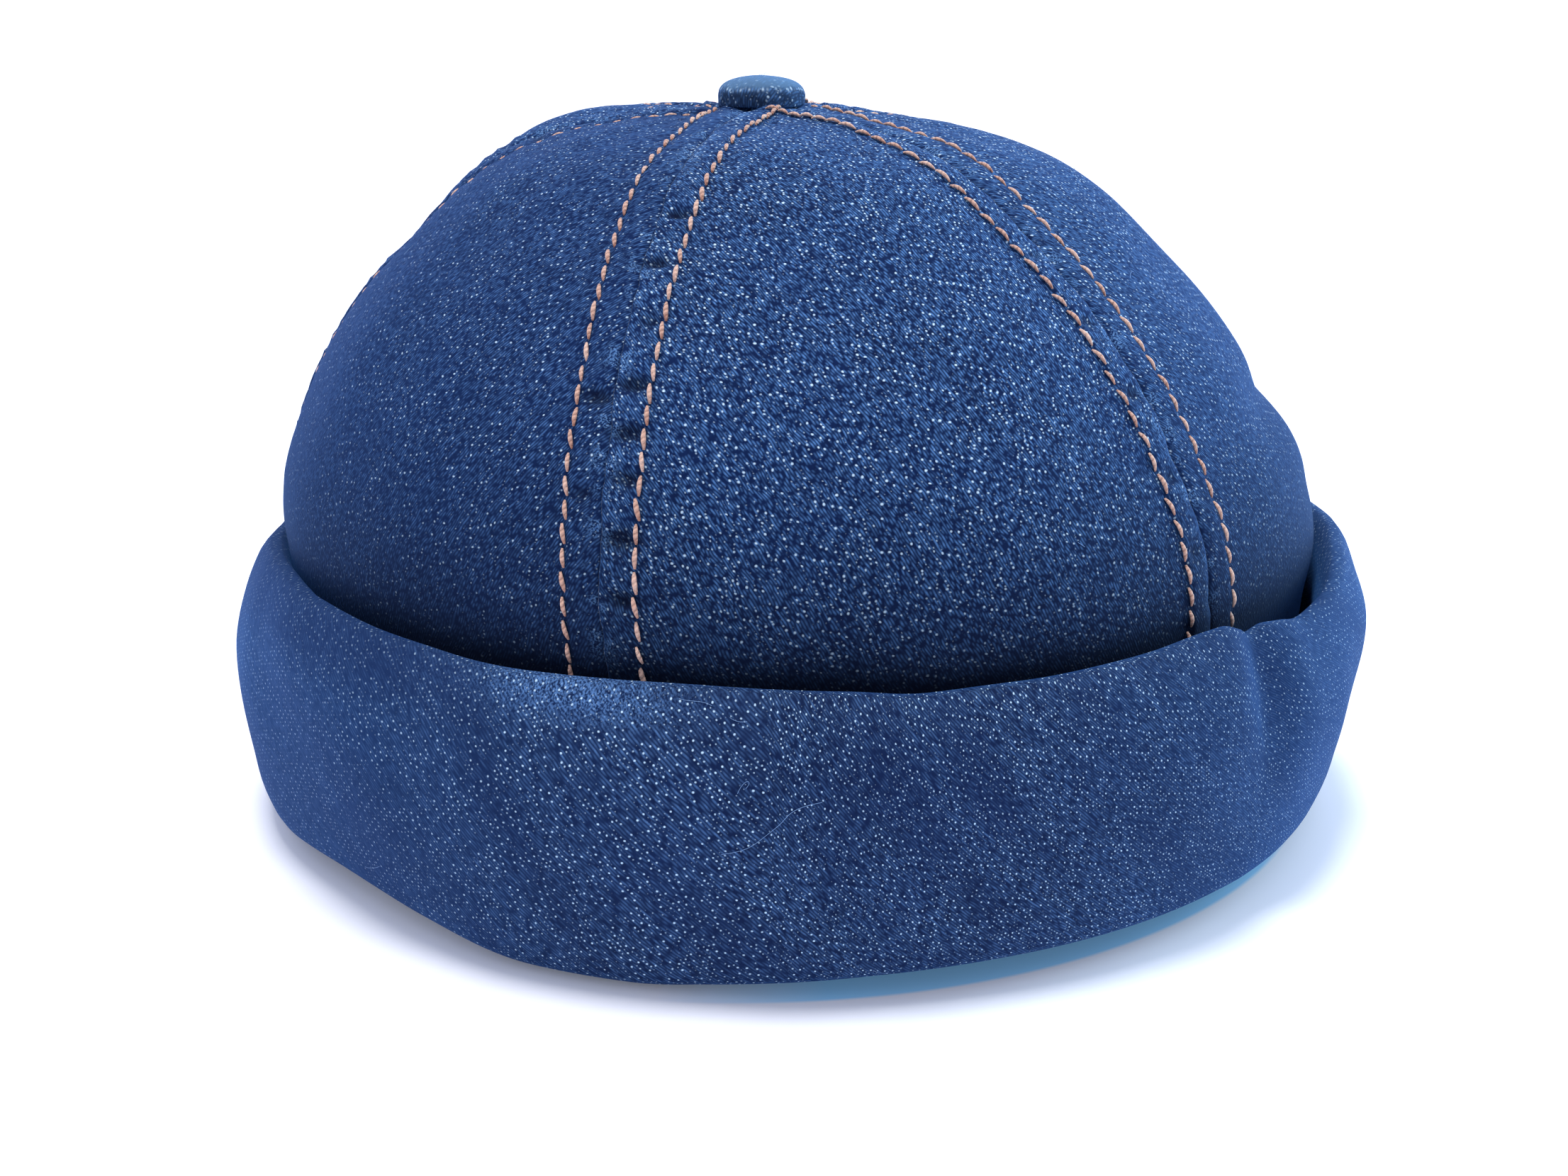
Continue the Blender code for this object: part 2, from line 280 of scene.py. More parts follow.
class Bench:
    """Node tree of one material or of the world, built from Python expressions."""

    noise_gain: float = 7.0
    def __init__(
            self, owner: bpy.types.Material | bpy.types.World,
            shader: str = "Principled BSDF") -> None:
        """Start on the owner's plain shader."""
        owner.use_nodes = True
        self.owner = owner
        self.tree = owner.node_tree
        self.shader = self.tree.nodes[shader]

    def feed(self, socket: bpy.types.NodeSocket, value: object) -> None:
        """Link or set a socket.

        Args:
            socket: The input to fill.
            value: A Value, an output socket or a constant.
        """
        source = value.socket if isinstance(value, Value) else value
        if isinstance(source, bpy.types.NodeSocket):
            self.tree.links.new(source, socket)
        else:
            socket.default_value = source

    def node(self, kind: str, settings: dict, sockets: dict) -> bpy.types.Node:
        """Add a node.

        Args:
            kind: The node's type.
            settings: Its settings, which are set first.
            sockets: Values or links of its inputs, by name or number.

        Returns:
            The new node.
        """
        made = self.tree.nodes.new(kind)
        for key, value in settings.items():
            setattr(made, key, value)
        for key, value in sockets.items():
            self.feed(made.inputs[key], value)
        return made

    def maths(self, operation: str, left: Value | float, right: Value | float) -> Value:
        """Value of a Math node that works on two numbers."""
        made = self.node("ShaderNodeMath", {"operation": operation}, {0: left, 1: right})
        return Value(self, made.outputs[0])

    def split(self, vector: bpy.types.NodeSocket) -> list[Value]:
        """Parts of a vector, times a thousand, so that metres come as millimetres."""
        parts = self.node("ShaderNodeSeparateXYZ", {}, {0: vector})
        return [Value(self, part) * MM for part in parts.outputs]

    def uv(self, name: str) -> list[Value]:
        """Both coordinates of a UV map, in millimetres."""
        return self.split(self.node("ShaderNodeUVMap", {"uv_map": name}, {}).outputs[0])[:2]

    def place(self) -> list[Value]:
        """Place in the frame, in millimetres: across, away from the viewer and up."""
        return self.split(self.node("ShaderNodeTexCoord", {}, {}).outputs["Object"])

    def join(
            self, x: Value | float, y: Value | float,
            z: Value | float) -> bpy.types.NodeSocket:
        """Vector of three numbers."""
        return self.node("ShaderNodeCombineXYZ", {}, {0: x, 1: y, 2: z}).outputs[0]

    def noise(self, vector: bpy.types.NodeSocket, scale: float, detail: float = 2.0) -> Value:
        """Soft noise with a mean of nothing and a usual size of one.

        Args:
            vector: Where it is read.
            scale: Its scale.
            detail: Number of finer layers.

        Returns:
            The noise.
        """
        sockets = {"Vector": vector, "Scale": scale, "Detail": detail, "Roughness": 0.5}
        made = self.node("ShaderNodeTexNoise", {"noise_dimensions": "3D"}, sockets)
        return (Value(self, made.outputs[0]) - 0.5) * self.noise_gain

    def grain(
            self, x: Value | float, y: Value | float, seed: float, scale: float = 1.0,
            detail: float = 1.0) -> Value:
        """Soft noise at two coordinates, on a layer of its own.

        Args:
            x: First coordinate.
            y: Second coordinate.
            seed: Depth of the layer in the noise.
            scale: Its scale.
            detail: Number of finer layers.

        Returns:
            The noise.
        """
        return self.noise(self.join(x, y, seed), scale, detail)

    def chance(self, x: Value | float, y: Value | float, seed: float) -> list[Value]:
        """Three even random numbers for one cell.

        Args:
            x: The cell's column.
            y: The cell's row.
            seed: Seed of the numbers.

        Returns:
            The three numbers, from 0 to 1.
        """
        vector = self.join(x, y, seed)
        settings = {"noise_dimensions": "3D"}
        made = self.node("ShaderNodeTexWhiteNoise", settings, {"Vector": vector})
        parts = self.node("ShaderNodeSeparateColor", {}, {0: made.outputs[1]})
        return [Value(self, parts.outputs[i]) for i in range(3)]

    def blend(
            self, amount: Value | float, first: bpy.types.NodeSocket | Colour,
            second: Colour) -> bpy.types.NodeSocket:
        """Colour between two colours.

        Args:
            amount: Share of the second colour.
            first: Colour at 0, as a socket or a screen colour.
            second: Screen colour at 1.

        Returns:
            The blended colour's socket.
        """
        settings = {"data_type": "RGBA", "clamp_factor": True}
        start = paint(*first) if isinstance(first, tuple) else first
        made = self.node("ShaderNodeMix", settings, {0: amount, 6: start, 7: paint(*second)})
        return made.outputs[2]

    def bump(self, height: Value, strength: float, depth: float = 0.00012) -> None:
        """Raise the surface's shading.

        Args:
            height: Height from 0 to 1.
            strength: The Bump node's strength.
            depth: Depth in metres of a height of one.
        """
        sockets = {"Strength": strength, "Distance": depth, "Height": height}
        made = self.node("ShaderNodeBump", {}, sockets)
        self.feed(self.shader.inputs["Normal"], made.outputs[0])

    def finish(self, **constants: object) -> bpy.types.Material:
        """Set the shader's constants.

        Args:
            **constants: Inputs by name, with an underscore for each space.

        Returns:
            The finished material.
        """
        for key, value in constants.items():
            self.shader.inputs[key.replace("_", " ")].default_value = value
        return self.owner


@dataclass(frozen=True)
class Denim:
    """Washed indigo twill with pale weft flecks, on a UV map named cloth.

    Lengths are in millimetres. The flecks stand on a slanted grid: across_step leads to the next
    column and up_step to the next large fleck of the same column, with small ones between.
    """

    name: str
    # Flecks
    across_step: tuple[float, float] = (1.17, -0.32)
    up_step: tuple[float, float] = (-0.37, 1.81)
    rows: int = 3
    fleck_size: float = 0.17
    fleck_least: float = 0.45
    fleck_growth: float = 0.60
    bare: float = 0.28
    bare_blend: float = 0.42
    chain: float = 1.9
    chain_length: float = 5.0
    chain_start: float = 0.47
    jitter: float = 0.52
    drift: float = 0.25
    drift_scale: float = 0.20
    # Tone of the ground: base, then shares of small patches, slubs and wide patches
    tones: tuple[float, ...] = (0.42, 0.07, 0.08, 0.10)
    patch_scale: float = 0.30
    wide_scale: float = 0.05
    # Warp floats
    float_lean: float = 28.0
    float_pitch: float = 0.44
    float_length: float = 0.85
    float_share: float = 0.35
    float_change: float = 0.36
    float_light: float = 1.0
    float_wander: float = 0.35
    column_step: float = 7.31
    # Which way the cloth is cut, and how its contrast fades from the front
    hand: float = 1.0
    focus_middle: float = 4.0
    focus_width: float = 62.0
    least_focus: float = 0.34
    # Screen colours
    dark: Colour = (2, 19, 54)
    middle: Colour = (9, 36, 83)
    light: Colour = (84, 130, 190)
    rubbed: Colour = (19, 49, 96)
    pale: Colour = (204, 232, 255)
    worn: Colour = (98, 136, 172)
    seam_worn: Colour = (128, 178, 236)
    mark_shade: Colour = (5, 10, 28)
    roll_shade: Colour = (16, 34, 74)
    deep_shade: Colour = (2, 9, 26)
    sheen: Colour = (75, 150, 255)
    # Shaded feet of the crown: top and depth of each, and its share of the deep shade
    shaded: Rows = ()
    # Cuff: the roll's wear, its strength and its place; painted shade at the roll's left (gloom)
    # and in soft creases
    edge: float = 0.0
    roll_foot: float = 42.5
    roll_rise: float = 4.5
    roll_place: tuple[float, float] = (-34.0, 17.0)
    gloom_foot: float = 39.0
    gloom_rise: float = 7.0
    gloom_start: float = -44.0
    gloom_reach: float = 16.0
    gloom_share: float = 0.45
    # Painted shade of soft diagonal creases: how much it dims the floats, and how much of the
    # roll's shade colour it lays on
    crease_float_shade: float = 0.22
    crease_shade: float = 0.20
    # Cuff: shear of its weave, which grows from the middle of the front to the right
    shear: float = 0.55
    shear_start: float = -5.0
    shear_reach: float = 85.0
    # Crown: whether it has seams, the end of their band, the dents too low for a shade, the
    # lighter tone of the band and the share of the worn colour
    seams: bool = False
    band_end: float = 6.6
    shallow: float = 0.10
    band_tone: float = 0.05
    wear_share: float = 0.80
    # Button: whether it has a rim, the share of the way down to it and the pitch of its teeth
    rim: bool = False
    shoulder: float = 0.425
    tooth_pitch: float = 0.86

    def floats(self, bench: Bench, u: Value, v: Value) -> Value:
        """Short raised warp floats that lean to the left as they go up.

        Args:
            bench: The material's bench.
            u: Place across the cloth.
            v: Place along the cloth.

        Returns:
            Strength of the float here.
        """
        lean = math.radians(self.float_lean)
        cos, sin = math.cos(lean), math.sin(lean)
        wander = bench.grain(u, v, 2.0, 0.25) * self.float_wander
        across = (u * cos + v * sin) / self.float_pitch + wander
        along = (v * cos - u * sin) / self.float_length
        column = across.floor()
        apart = (across - column - 0.5) * 2.0
        lift = bench.grain(column * self.column_step, along, 1.0, detail=0.0)
        return (1.0 - apart.size()) * (self.float_share + lift * self.float_change).kept()

    def flecks(self, bench: Bench, u: Value, v: Value, patch: Value) -> Value:
        """Pale dots where the weft shows: large ones on the grid and chains of small ones.

        Args:
            bench: The material's bench.
            u: Place across the cloth.
            v: Place along the cloth.
            patch: Slow change of strength over the cloth.

        Returns:
            Strength of the fleck here.
        """
        (ax, ay), (bx, by) = self.across_step, self.up_step
        area = ax * by - ay * bx
        warp = u * (by / area) - v * (bx / area)
        weft = (v * (ax / area) - u * (ay / area)) * self.rows
        i, k = warp.floor(), weft.floor()
        luck, side, up = bench.chance(i, k, 4.0)
        kin = bench.chance(i, (weft / self.chain_length).floor(), 6.0)[0]
        large = (k / self.rows + 0.1).fract().under(0.25)
        big = ((luck - self.bare) / self.bare_blend).kept() * large
        small = ((kin * 0.50 + luck * 0.50 - self.chain_start) * self.chain).kept()
        strength = big.least(small) * (0.92 + 0.10 * patch)
        across, along = warp - i - 0.5, (weft - k - 0.5) / self.rows
        dx = across * ax + along * bx - (side - 0.5) * self.jitter
        dy = across * ay + along * by - (up - 0.5) * self.jitter * 0.6
        size = self.fleck_size * (self.fleck_least + self.fleck_growth * strength)
        return (1.5 - (dx * dx + dy * dy) ** 0.5 / size).kept() * strength

    def focus(self, across: Value) -> Value:
        """Contrast that the weave keeps: full at the front and back, less where it is rubbed."""
        apart = ((across - self.focus_middle) / self.focus_width).size()
        return self.least_focus + (1.0 - self.least_focus) * (apart ** 4.0 + 1.0) ** -1.0

    def seam_marks(self, bench: Bench) -> tuple[Value, Value, Value]:
        """Wear and shade beside the seams, from the UV maps named seam and fold.

        Args:
            bench: The material's bench.

        Returns:
            Pale wear, dark shade, and the share of the seam's band.
        """
        reach, run = bench.uv("seam")
        depth = bench.uv("fold")[0]
        cluster = (bench.grain(reach * 0.2, run * 0.30, 2.0) - 0.10).kept()
        grain = (bench.grain(reach, run, 9.0, 2.9) - 0.10).kept()
        wear = (cluster * 2.0).kept() * (grain * 3.6).kept() * reach.bell(0.8, 1.3) * 0.45
        hole = (run / (TopStitching.pitch * MM)).fract().bell(0.0, 0.14)
        row = reach.bell(HatForm.band * MM, 0.50)
        broken = (bench.grain(3.0, run * 0.35, 3.0) + 0.6).kept()
        line = reach.bell(0.0, 0.25) * 0.22 * broken
        dents = (depth - self.shallow).least(0.0) * 1.2
        shade = line + row * (0.20 + 0.5 * hole) + dents
        return wear, shade.kept() * 0.66, (self.band_end - reach).kept()

    def rim_marks(self, bench: Bench, flecks: Value) -> tuple[Value, Value, Value]:
        """Wear of the button's top, teeth of weft at its shoulder and shade below them.

        Args:
            bench: The material's bench.
            flecks: The cloth's own flecks.

        Returns:
            Flecks with the teeth, wear and shade.
        """
        turn, level = bench.uv("rim")
        apart = level - self.shoulder - bench.grain(turn * 0.25, 0.0, 4.0) * 0.022
        cell = turn / self.tooth_pitch
        luck, lift, _ = bench.chance(cell.floor(), 2.0, 8.0)
        tooth = (cell.fract() - 0.5).size() * 2.0
        short = (apart + (lift - 0.5) * 0.03).bell(0.0, 0.020)
        teeth = (1.25 - tooth * 1.6).kept() * short * (luck - 0.15).least(0.0)
        below = ((apart - 0.01) / 0.05).kept()
        above = 1.0 - ((apart + 0.05) / 0.07).kept()
        uneven = (0.62 - 0.035 * turn + 0.25 * bench.grain(turn * 0.2, level * 6.0, 6.0)).kept()
        flecks = (flecks * (1.0 - above * 0.6)).least(teeth)
        return flecks, above * 0.42 + 0.16, below * uneven * 0.50

    def roll(self, bench: Bench, u: Value, v: Value, place: list[Value]) -> Value:
        """Pale wear of the cuff's top roll, left of the middle of its front.

        Args:
            bench: The material's bench.
            u: Place across the cloth.
            v: Place along the cloth.
            place: Place in the frame.

        Returns:
            Strength of the wear here.
        """
        across, away, height = place
        high = ((height - self.roll_foot) / self.roll_rise).kept()
        worn = high * across.bell(*self.roll_place) * away.under(0.0) * self.edge
        return worn * (0.30 + 0.9 * bench.grain(u * 1.3, v, 12.0, 2.6)).kept()

    def gloom(self, place: list[Value]) -> Value:
        """Shade at the left of the cuff's top roll, for its place in the frame."""
        across, away, height = place
        high = ((height - self.gloom_foot) / self.gloom_rise).kept()
        return high * ((self.gloom_start - across) / self.gloom_reach).kept() * away.under(0.0)

    def material(self) -> bpy.types.Material:
        """Make the cloth's material."""
        bench = Bench(bpy.data.materials.new(self.name))
        u, v = bench.uv("cloth")
        u = u * self.hand
        place = across, _, height = bench.place()
        kept = self.focus(across)
        if self.edge:
            u = u + v * ((across - self.shear_start) / self.shear_reach).kept() * self.shear
        spot = bench.join(u, v, 0.0)
        patch = bench.noise(spot, self.patch_scale)
        slub = bench.grain(u * 2.0, v * 0.5, 5.0, detail=2.0)
        drift = bench.noise(spot, self.drift_scale, 1.0) * self.drift
        floats = self.floats(bench, u, v)
        flecks = self.flecks(bench, u + drift, v + drift * 0.6, patch) * kept
        raised = floats * 0.6 + flecks * 0.6
        wide = bench.grain(u, v, 9.0, self.wide_scale, 2.0)
        base, *shares = self.tones
        tone = base + shares[0] * patch + shares[1] * slub + shares[2] * wide
        even = (0.95 + 0.08 * patch + 0.10 * slub).least(0.0)
        warp = floats * even * self.float_light * kept
        if self.edge:
            # Painted shade of soft diagonal creases from a stretched noise; it dims the floats and
            # the roll's wear
            crease = bench.grain((u + v * 0.7) * 0.055, (v - u) * 0.014, 3.0)
            warp = (warp + self.roll(bench, u, v, place)) * (1.0 - self.crease_float_shade * crease)
        if self.seams:
            wear, shade, band = self.seam_marks(bench)
            tone = tone + band * self.band_tone
        if self.rim:
            flecks, wear, shade = self.rim_marks(bench, flecks)
            warp = warp * (1.1 - wear * 0.9)
        cloth = bench.blend(tone.kept(), self.dark, self.middle)
        cloth = bench.blend(1.0 - kept, cloth, self.rubbed)
        cloth = bench.blend(warp.kept(), cloth, self.light)
        cloth = bench.blend(flecks, cloth, self.pale)
        if self.rim:
            cloth = bench.blend(wear, cloth, self.worn)
        if self.seams:
            cloth = bench.blend(wear.kept() * self.wear_share, cloth, self.seam_worn)
        if self.seams or self.rim:
            cloth = bench.blend(shade, cloth, self.mark_shade)
        if self.edge:
            # Painted shade at the left of the top roll and in the creases
            creased = (crease - 0.2).kept() * self.crease_shade
            amount = self.gloom(place) * self.gloom_share + creased
            cloth = bench.blend(amount, cloth, self.roll_shade)
        for top, depth, share in self.shaded:
            low = ((top - height) / depth).kept()
            cloth = bench.blend(low * low * share, cloth, self.deep_shade)
        bench.feed(bench.shader.inputs["Base Color"], cloth)
        bench.bump(raised, 0.8)
        return bench.finish(
            Roughness=0.88, Specular_IOR_Level=0.10, Sheen_Weight=0.18, Sheen_Roughness=0.40,
            Sheen_Tint=paint(*self.sheen))


@dataclass(frozen=True)
class Thread:
    """Copper polyester thread, laid as three plies that twist along its UV map."""

    name: str = "copper_thread"
    colour: Colour = (200, 154, 134)
    shade: Colour = (112, 66, 54)
    # Painted shade at the lower end of each stitch
    low_end_shade: Colour = (150, 88, 64)
    faded: Colour = (236, 205, 188)
    # Turns of a ply for each millimetre, and the map's step from stitch to stitch
    twist: float = 1.15
    step: float = 10.0

    def material(self) -> bpy.types.Material:
        """Make the thread's material."""
        bench = Bench(bpy.data.materials.new(self.name))
        turn, run = bench.uv("twist")
        ply = ((turn * 0.003 + run * self.twist).fract() - 0.5).size() * 2.0
        wear = bench.grain(turn * 0.01, run, 1.0, 2.0, 2.0)
        groove = (ply * 1.6 - 0.75).kept()
        stitch = run / self.step + 0.5
        # The lower end of each stitch is darker: painted shade, as from light above
        low = (stitch.fract() - 0.5) * -7.0
        colour = bench.blend(groove * 0.85, self.colour, self.shade)
        low_end_shaded = bench.blend((low * 0.95 - 0.20).kept(), colour, self.low_end_shade)
        luck = bench.chance(stitch.floor(), 1.0, 3.0)[0]
        pale = bench.blend((wear * 0.16 + luck * 0.5 - 0.1).kept(), low_end_shaded, self.faded)
        bench.feed(bench.shader.inputs["Base Color"], pale)
        bench.bump(1.0 - ply, 1.0)
        return bench.finish(Roughness=0.62, Sheen_Weight=0.3)


@dataclass(frozen=True)
class Fibre:
    """Pale loose fibre with a faint grain."""

    name: str = "pale_fibre"
    colour: Colour = (118, 154, 202)
    dull: Colour = (120, 125, 140)
    grain: float = 0.02

    def material(self) -> bpy.types.Material:
        """Make the fibre's material."""
        bench = Bench(bpy.data.materials.new(self.name))
        source = bench.node("ShaderNodeTexCoord", {}, {}).outputs["Object"]
        amount = (0.5 + bench.noise(source, 40.0)).kept() * self.grain
        bench.feed(bench.shader.inputs["Base Color"], bench.blend(amount, self.colour, self.dull))
        return bench.finish(Roughness=0.8)


@dataclass(frozen=True)
class TableTop:
    """Pale table with a faint painted glow, and painted blue bounce light from the denim under the
    lifted right front of the cuff.
    """

    name: str = "pale_table"
    colour: Colour = (236, 240, 252)
    # Colour of the table's glow, a painted light
    light: Colour = (174, 177, 186)
    # Painted blue bounce light in the shade under the cuff: its colour, and the colour of its glow
    painted_bounce: Colour = (146, 202, 240)
    painted_bounce_glow: Colour = (128, 186, 232)
    centre: tuple[float, float] = (-10.0, 8.8)
    reach: float = 108.3
    blur: float = 0.8
    # Strength of the table's glow, a painted light that lifts its shadows and lights the hat from
    # below
    glow: float = 0.24

    def material(self) -> bpy.types.Material:
        """Make the table's material."""
        bench = Bench(bpy.data.materials.new(self.name))
        x, y, _ = bench.place()
        radius = ((x - self.centre[0]) ** 2.0 + (y - self.centre[1]) ** 2.0) ** 0.5
        front = ((x + 22.0) / 26.0).kept() * ((-30.0 - y) / 20.0).kept()
        # Painted bounce light inside a circle about the hat, at its front right only
        amount = ((self.reach - radius) / self.blur).kept() * front
        colour = bench.blend(amount, self.colour, self.painted_bounce)
        light = bench.blend(amount, self.light, self.painted_bounce_glow)
        bench.feed(bench.shader.inputs["Base Color"], colour)
        # The table glows, a painted light, bluer where the bounce light is painted
        bench.feed(bench.shader.inputs["Emission Color"], light)
        return bench.finish(Roughness=0.6, Emission_Strength=self.glow)


def deselect_all() -> None:
    """Leave nothing selected, so that an operator reaches only the new piece."""
    if bpy.context.object and bpy.context.object.mode != "OBJECT":
        bpy.ops.object.mode_set(mode="OBJECT")
    bpy.ops.object.select_all(action="DESELECT")


def hang(name: str, data: bpy.types.ID) -> bpy.types.Object:
    """New object in the scene, around its data."""
    made = bpy.data.objects.new(name, data)
    bpy.context.scene.collection.objects.link(made)
    return made


def facing(direction: Vector) -> Euler:
    """Turn of a light or camera that looks in a direction."""
    return direction.to_track_quat("-Z", "Y").to_euler()


def uv_map(mesh: bpy.types.Mesh, name: str, values: Array) -> None:
    """Give a mesh a UV map with one value for each vertex.

    Args:
        mesh: The mesh.
        name: Name of the map.
        values: Pairs of coordinates, in the order of the vertices.
    """
    corners = np.empty(len(mesh.loops), dtype=np.int64)
    mesh.loops.foreach_get("vertex_index", corners)
    layer = mesh.uv_layers.new(name=name)
    layer.data.foreach_set("uv", values[corners].astype(np.float32).ravel())


def new_piece(
        name: str, points: Array, faces: list, slots: list, finishes: list,
        closed: bool = True) -> bpy.types.Object:
    """Make a smooth piece from its faces.

    Args:
        name: The piece's name.
        points: Its vertices.
        faces: Vertex numbers of its faces.
        slots: Material number of each face.
        finishes: Materials in the order of their numbers.
        closed: Whether it is one closed skin, whose faces are to be turned outwards.

    Returns:
        The new object, linked to the scene.
    """
    mesh = bpy.data.meshes.new(name)
    mesh.from_pydata(points.tolist(), [], faces)
    for finish in finishes:
        mesh.materials.append(finish)
    mesh.polygons.foreach_set("material_index", slots)
    if closed:
        work = bmesh.new()
        work.from_mesh(mesh)
        bmesh.ops.recalc_face_normals(work, faces=work.faces[:])
        work.to_mesh(mesh)
        work.free()
    mesh.shade_smooth()
    return hang(name, mesh)


@dataclass
class HatForm:
    """Shape of the whole hat, with its sizes and its tables of folds and dents."""

    # Sizes of the frame's solids
    crown_radius: float = 0.0935
    crown_height: float = 0.1245
    crown_cloth: float = 0.0012
    crown_lean: float = 0.083
    panel_start: float = 0.0110
    panel_puff: float = 0.0012
    hole_radius: float = 0.0040
    cuff_height: float = 0.0478
    cuff_stand: float = 0.0105
    cuff_cloth: float = 0.0013
    fold_lift: float = 0.0036
    seat_gap: float = 0.0003
    drape_slow: float = 0.00035
    drape_quick: float = 0.00022
    # Seams: azimuths, half width of the band, and the wander of the line
    seams: tuple[float, ...] = (-17.8, 44.6, 117.0, 168.0, 222.0, 272.5)
    band: float = 0.00574
    stray_slow: float = 0.00030
    stray_quick: float = 0.00012
    # Relief of a band: height of the doubled cloth, then depth and width of what is pulled in
    allowance: float = 0.00060
    line_depth: float = 0.00045
    line_width: float = 0.00045
    valley_depth: float = 0.00030
    valley_width: float = 0.0014
    row_depth: float = 0.00042
    row_width: float = 0.00060
    pucker_depth: float = 0.00085
    pucker_swell: float = 0.00022
    spread_depth: float = 0.00026
    spread_reach: float = 0.0040

    # Crown outline: height as a share of the crown's height, radius as a share of its radius
    crown_profile: Rows = (
        (0.000, 0.985), (0.200, 0.991), (0.376, 0.997), (0.440, 1.000), (0.500, 0.990),
        (0.543, 0.972), (0.627, 0.920), (0.710, 0.847), (0.794, 0.748), (0.877, 0.618),
        (0.924, 0.528), (0.961, 0.408), (0.984, 0.260), (0.996, 0.120), (1.000, 0.000),
    )
    # Dents and swells: azimuth, height share, half width, half height, depth by the radius
    crown_relief: Rows = (
        (82.0, 0.610, 26.0, 0.040, -0.0170),
        (80.0, 0.530, 26.0, 0.050, 0.0060),
        (92.0, 0.880, 26.0, 0.070, 0.0200),
        (-94.0, 0.830, 20.0, 0.045, -0.0180),
        (-122.0, 0.965, 36.0, 0.045, 0.0240),
        (-82.0, 0.620, 30.0, 0.200, -0.0090),
        (-60.0, 0.700, 18.0, 0.120, 0.0050),
        (14.0, 0.560, 20.0, 0.160, 0.0050),
        (-34.0, 0.440, 9.0, 0.050, -0.0050),
        (80.0, 0.410, 24.0, 0.060, 0.0130),
        (150.0, 0.560, 24.0, 0.090, 0.0100),
        (196.0, 0.660, 26.0, 0.070, -0.0110),
        (236.0, 0.520, 22.0, 0.100, 0.0090),
    )

    # Deep dents of a band: seam, length from the top, place across, both half sizes, depth
    dents: Rows = (
        (0, 0.0581, 0.0034, 0.0024, 0.0011, 0.0011), (0, 0.0690, 0.0022, 0.0026, 0.0011, 0.0012),
        (0, 0.0805, 0.0036, 0.0020, 0.0010, 0.0009), (0, 0.0912, 0.0032, 0.0027, 0.0012, 0.0016),
        (0, 0.0937, -0.0026, 0.0024, 0.0014, 0.0012), (0, 0.0990, 0.0032, 0.0028, 0.0012, 0.0015),
        (0, 0.1061, 0.0038, 0.0026, 0.0014, 0.0012), (0, 0.1153, 0.0034, 0.0030, 0.0013, 0.0016),
        (0, 0.1242, 0.0038, 0.0024, 0.0012, 0.0014), (0, 0.1090, -0.0032, 0.0018, 0.0012, 0.0008),
        (1, 0.0700, -0.0030, 0.0018, 0.0014, 0.0006), (1, 0.0840, -0.0032, 0.0018, 0.0012, 0.0007),
        (1, 0.0970, -0.0030, 0.0020, 0.0014, 0.0008), (1, 0.1110, -0.0032, 0.0018, 0.0012, 0.0007),
        (1, 0.1230, -0.0030, 0.0018, 0.0012, 0.0006),
    )

    def __post_init__(self) -> None:
        """Work out the crown's outline and the place of its axis in the frame."""
        heights = np.linspace(self.panel_start / self.crown_height, 1.0, 2401)
        radii = ease(self.crown_profile, heights) * self.crown_radius
        flat = np.linspace(radii[-2], self.hole_radius, 60)[1:]
        levels = heights * self.crown_height
        rest = np.linspace(levels[-2], levels[-1], 60)[1:]
        self.radii = np.concatenate([radii[:-1], flat])
        self.levels = np.concatenate([levels[:-1], rest])
        steps = np.hypot(np.diff(self.radii), np.diff(self.levels))
        self.run = np.concatenate([[0.0], np.cumsum(steps)])
        self.length = float(self.run[-1])
        low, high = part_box("button")
        top = float(self.lean_at(np.array(self.crown_height)))
        self.shift = Vector(((low[0] + high[0]) / 2 - top, (low[1] + high[1]) / 2, 0.0))

    def lean_at(self, height: Array) -> Array:
        """Sideways place of the crown's axis at a height."""
        return -self.crown_lean * np.maximum(0.0, height - self.cuff_height)

    def beside(self, seam: float, azimuth: Array, radius: Array) -> Array:
        """Distance over the cloth from a seam's azimuth, with its side."""
        return np.sin(np.radians(np.clip(turned(azimuth, seam), -90, 90))) * radius

    def stray(self, number: int, run: Array) -> Array:
        """Sideways wander of a seam's line.

        Args:
            number: Number of the seam, from 0.
            run: Length along the outline from the lower edge.

        Returns:
            The wander over the cloth.
        """
        number = number % len(self.seams)
        slow = ripple(run, 0.0190, 60 + number) * self.stray_slow
        quick = ripple(run, 0.0056, 70 + number) * self.stray_quick
        return (slow + quick) * np.clip((self.length - run) / 0.02, 0, 1)

    def seam_reach(self, azimuth: Array, radius: Array, run: Array) -> Array:
        """Distance over the cloth to the nearest seam.

        Args:
            azimuth: Direction in degrees.
            radius: Distance from the crown's axis.
            run: Length along the outline from the lower edge.

        Returns:
            The distance.
        """
        reach = np.full(np.broadcast(azimuth, radius).shape, 1.0)
        for number, seam in enumerate(self.seams):
            signed = self.beside(seam, azimuth, radius)
            wander = self.stray(number, run) * fall(np.abs(signed), 0.0015, 0.0040)
            reach = np.minimum(reach, np.abs(signed - wander))
        return reach

    def seam_share(self, azimuth: Array) -> Array:
        """Share of the way across the panel that holds each azimuth."""
        seams = np.array(list(self.seams) + [self.seams[0] + 360.0])
        ahead = np.mod(azimuth - seams[0], 360.0) + seams[0]
        number = np.clip(np.searchsorted(seams, ahead, side="right") - 1, 0, len(seams) - 2)
        return (ahead - seams[number]) / (seams[number + 1] - seams[number])

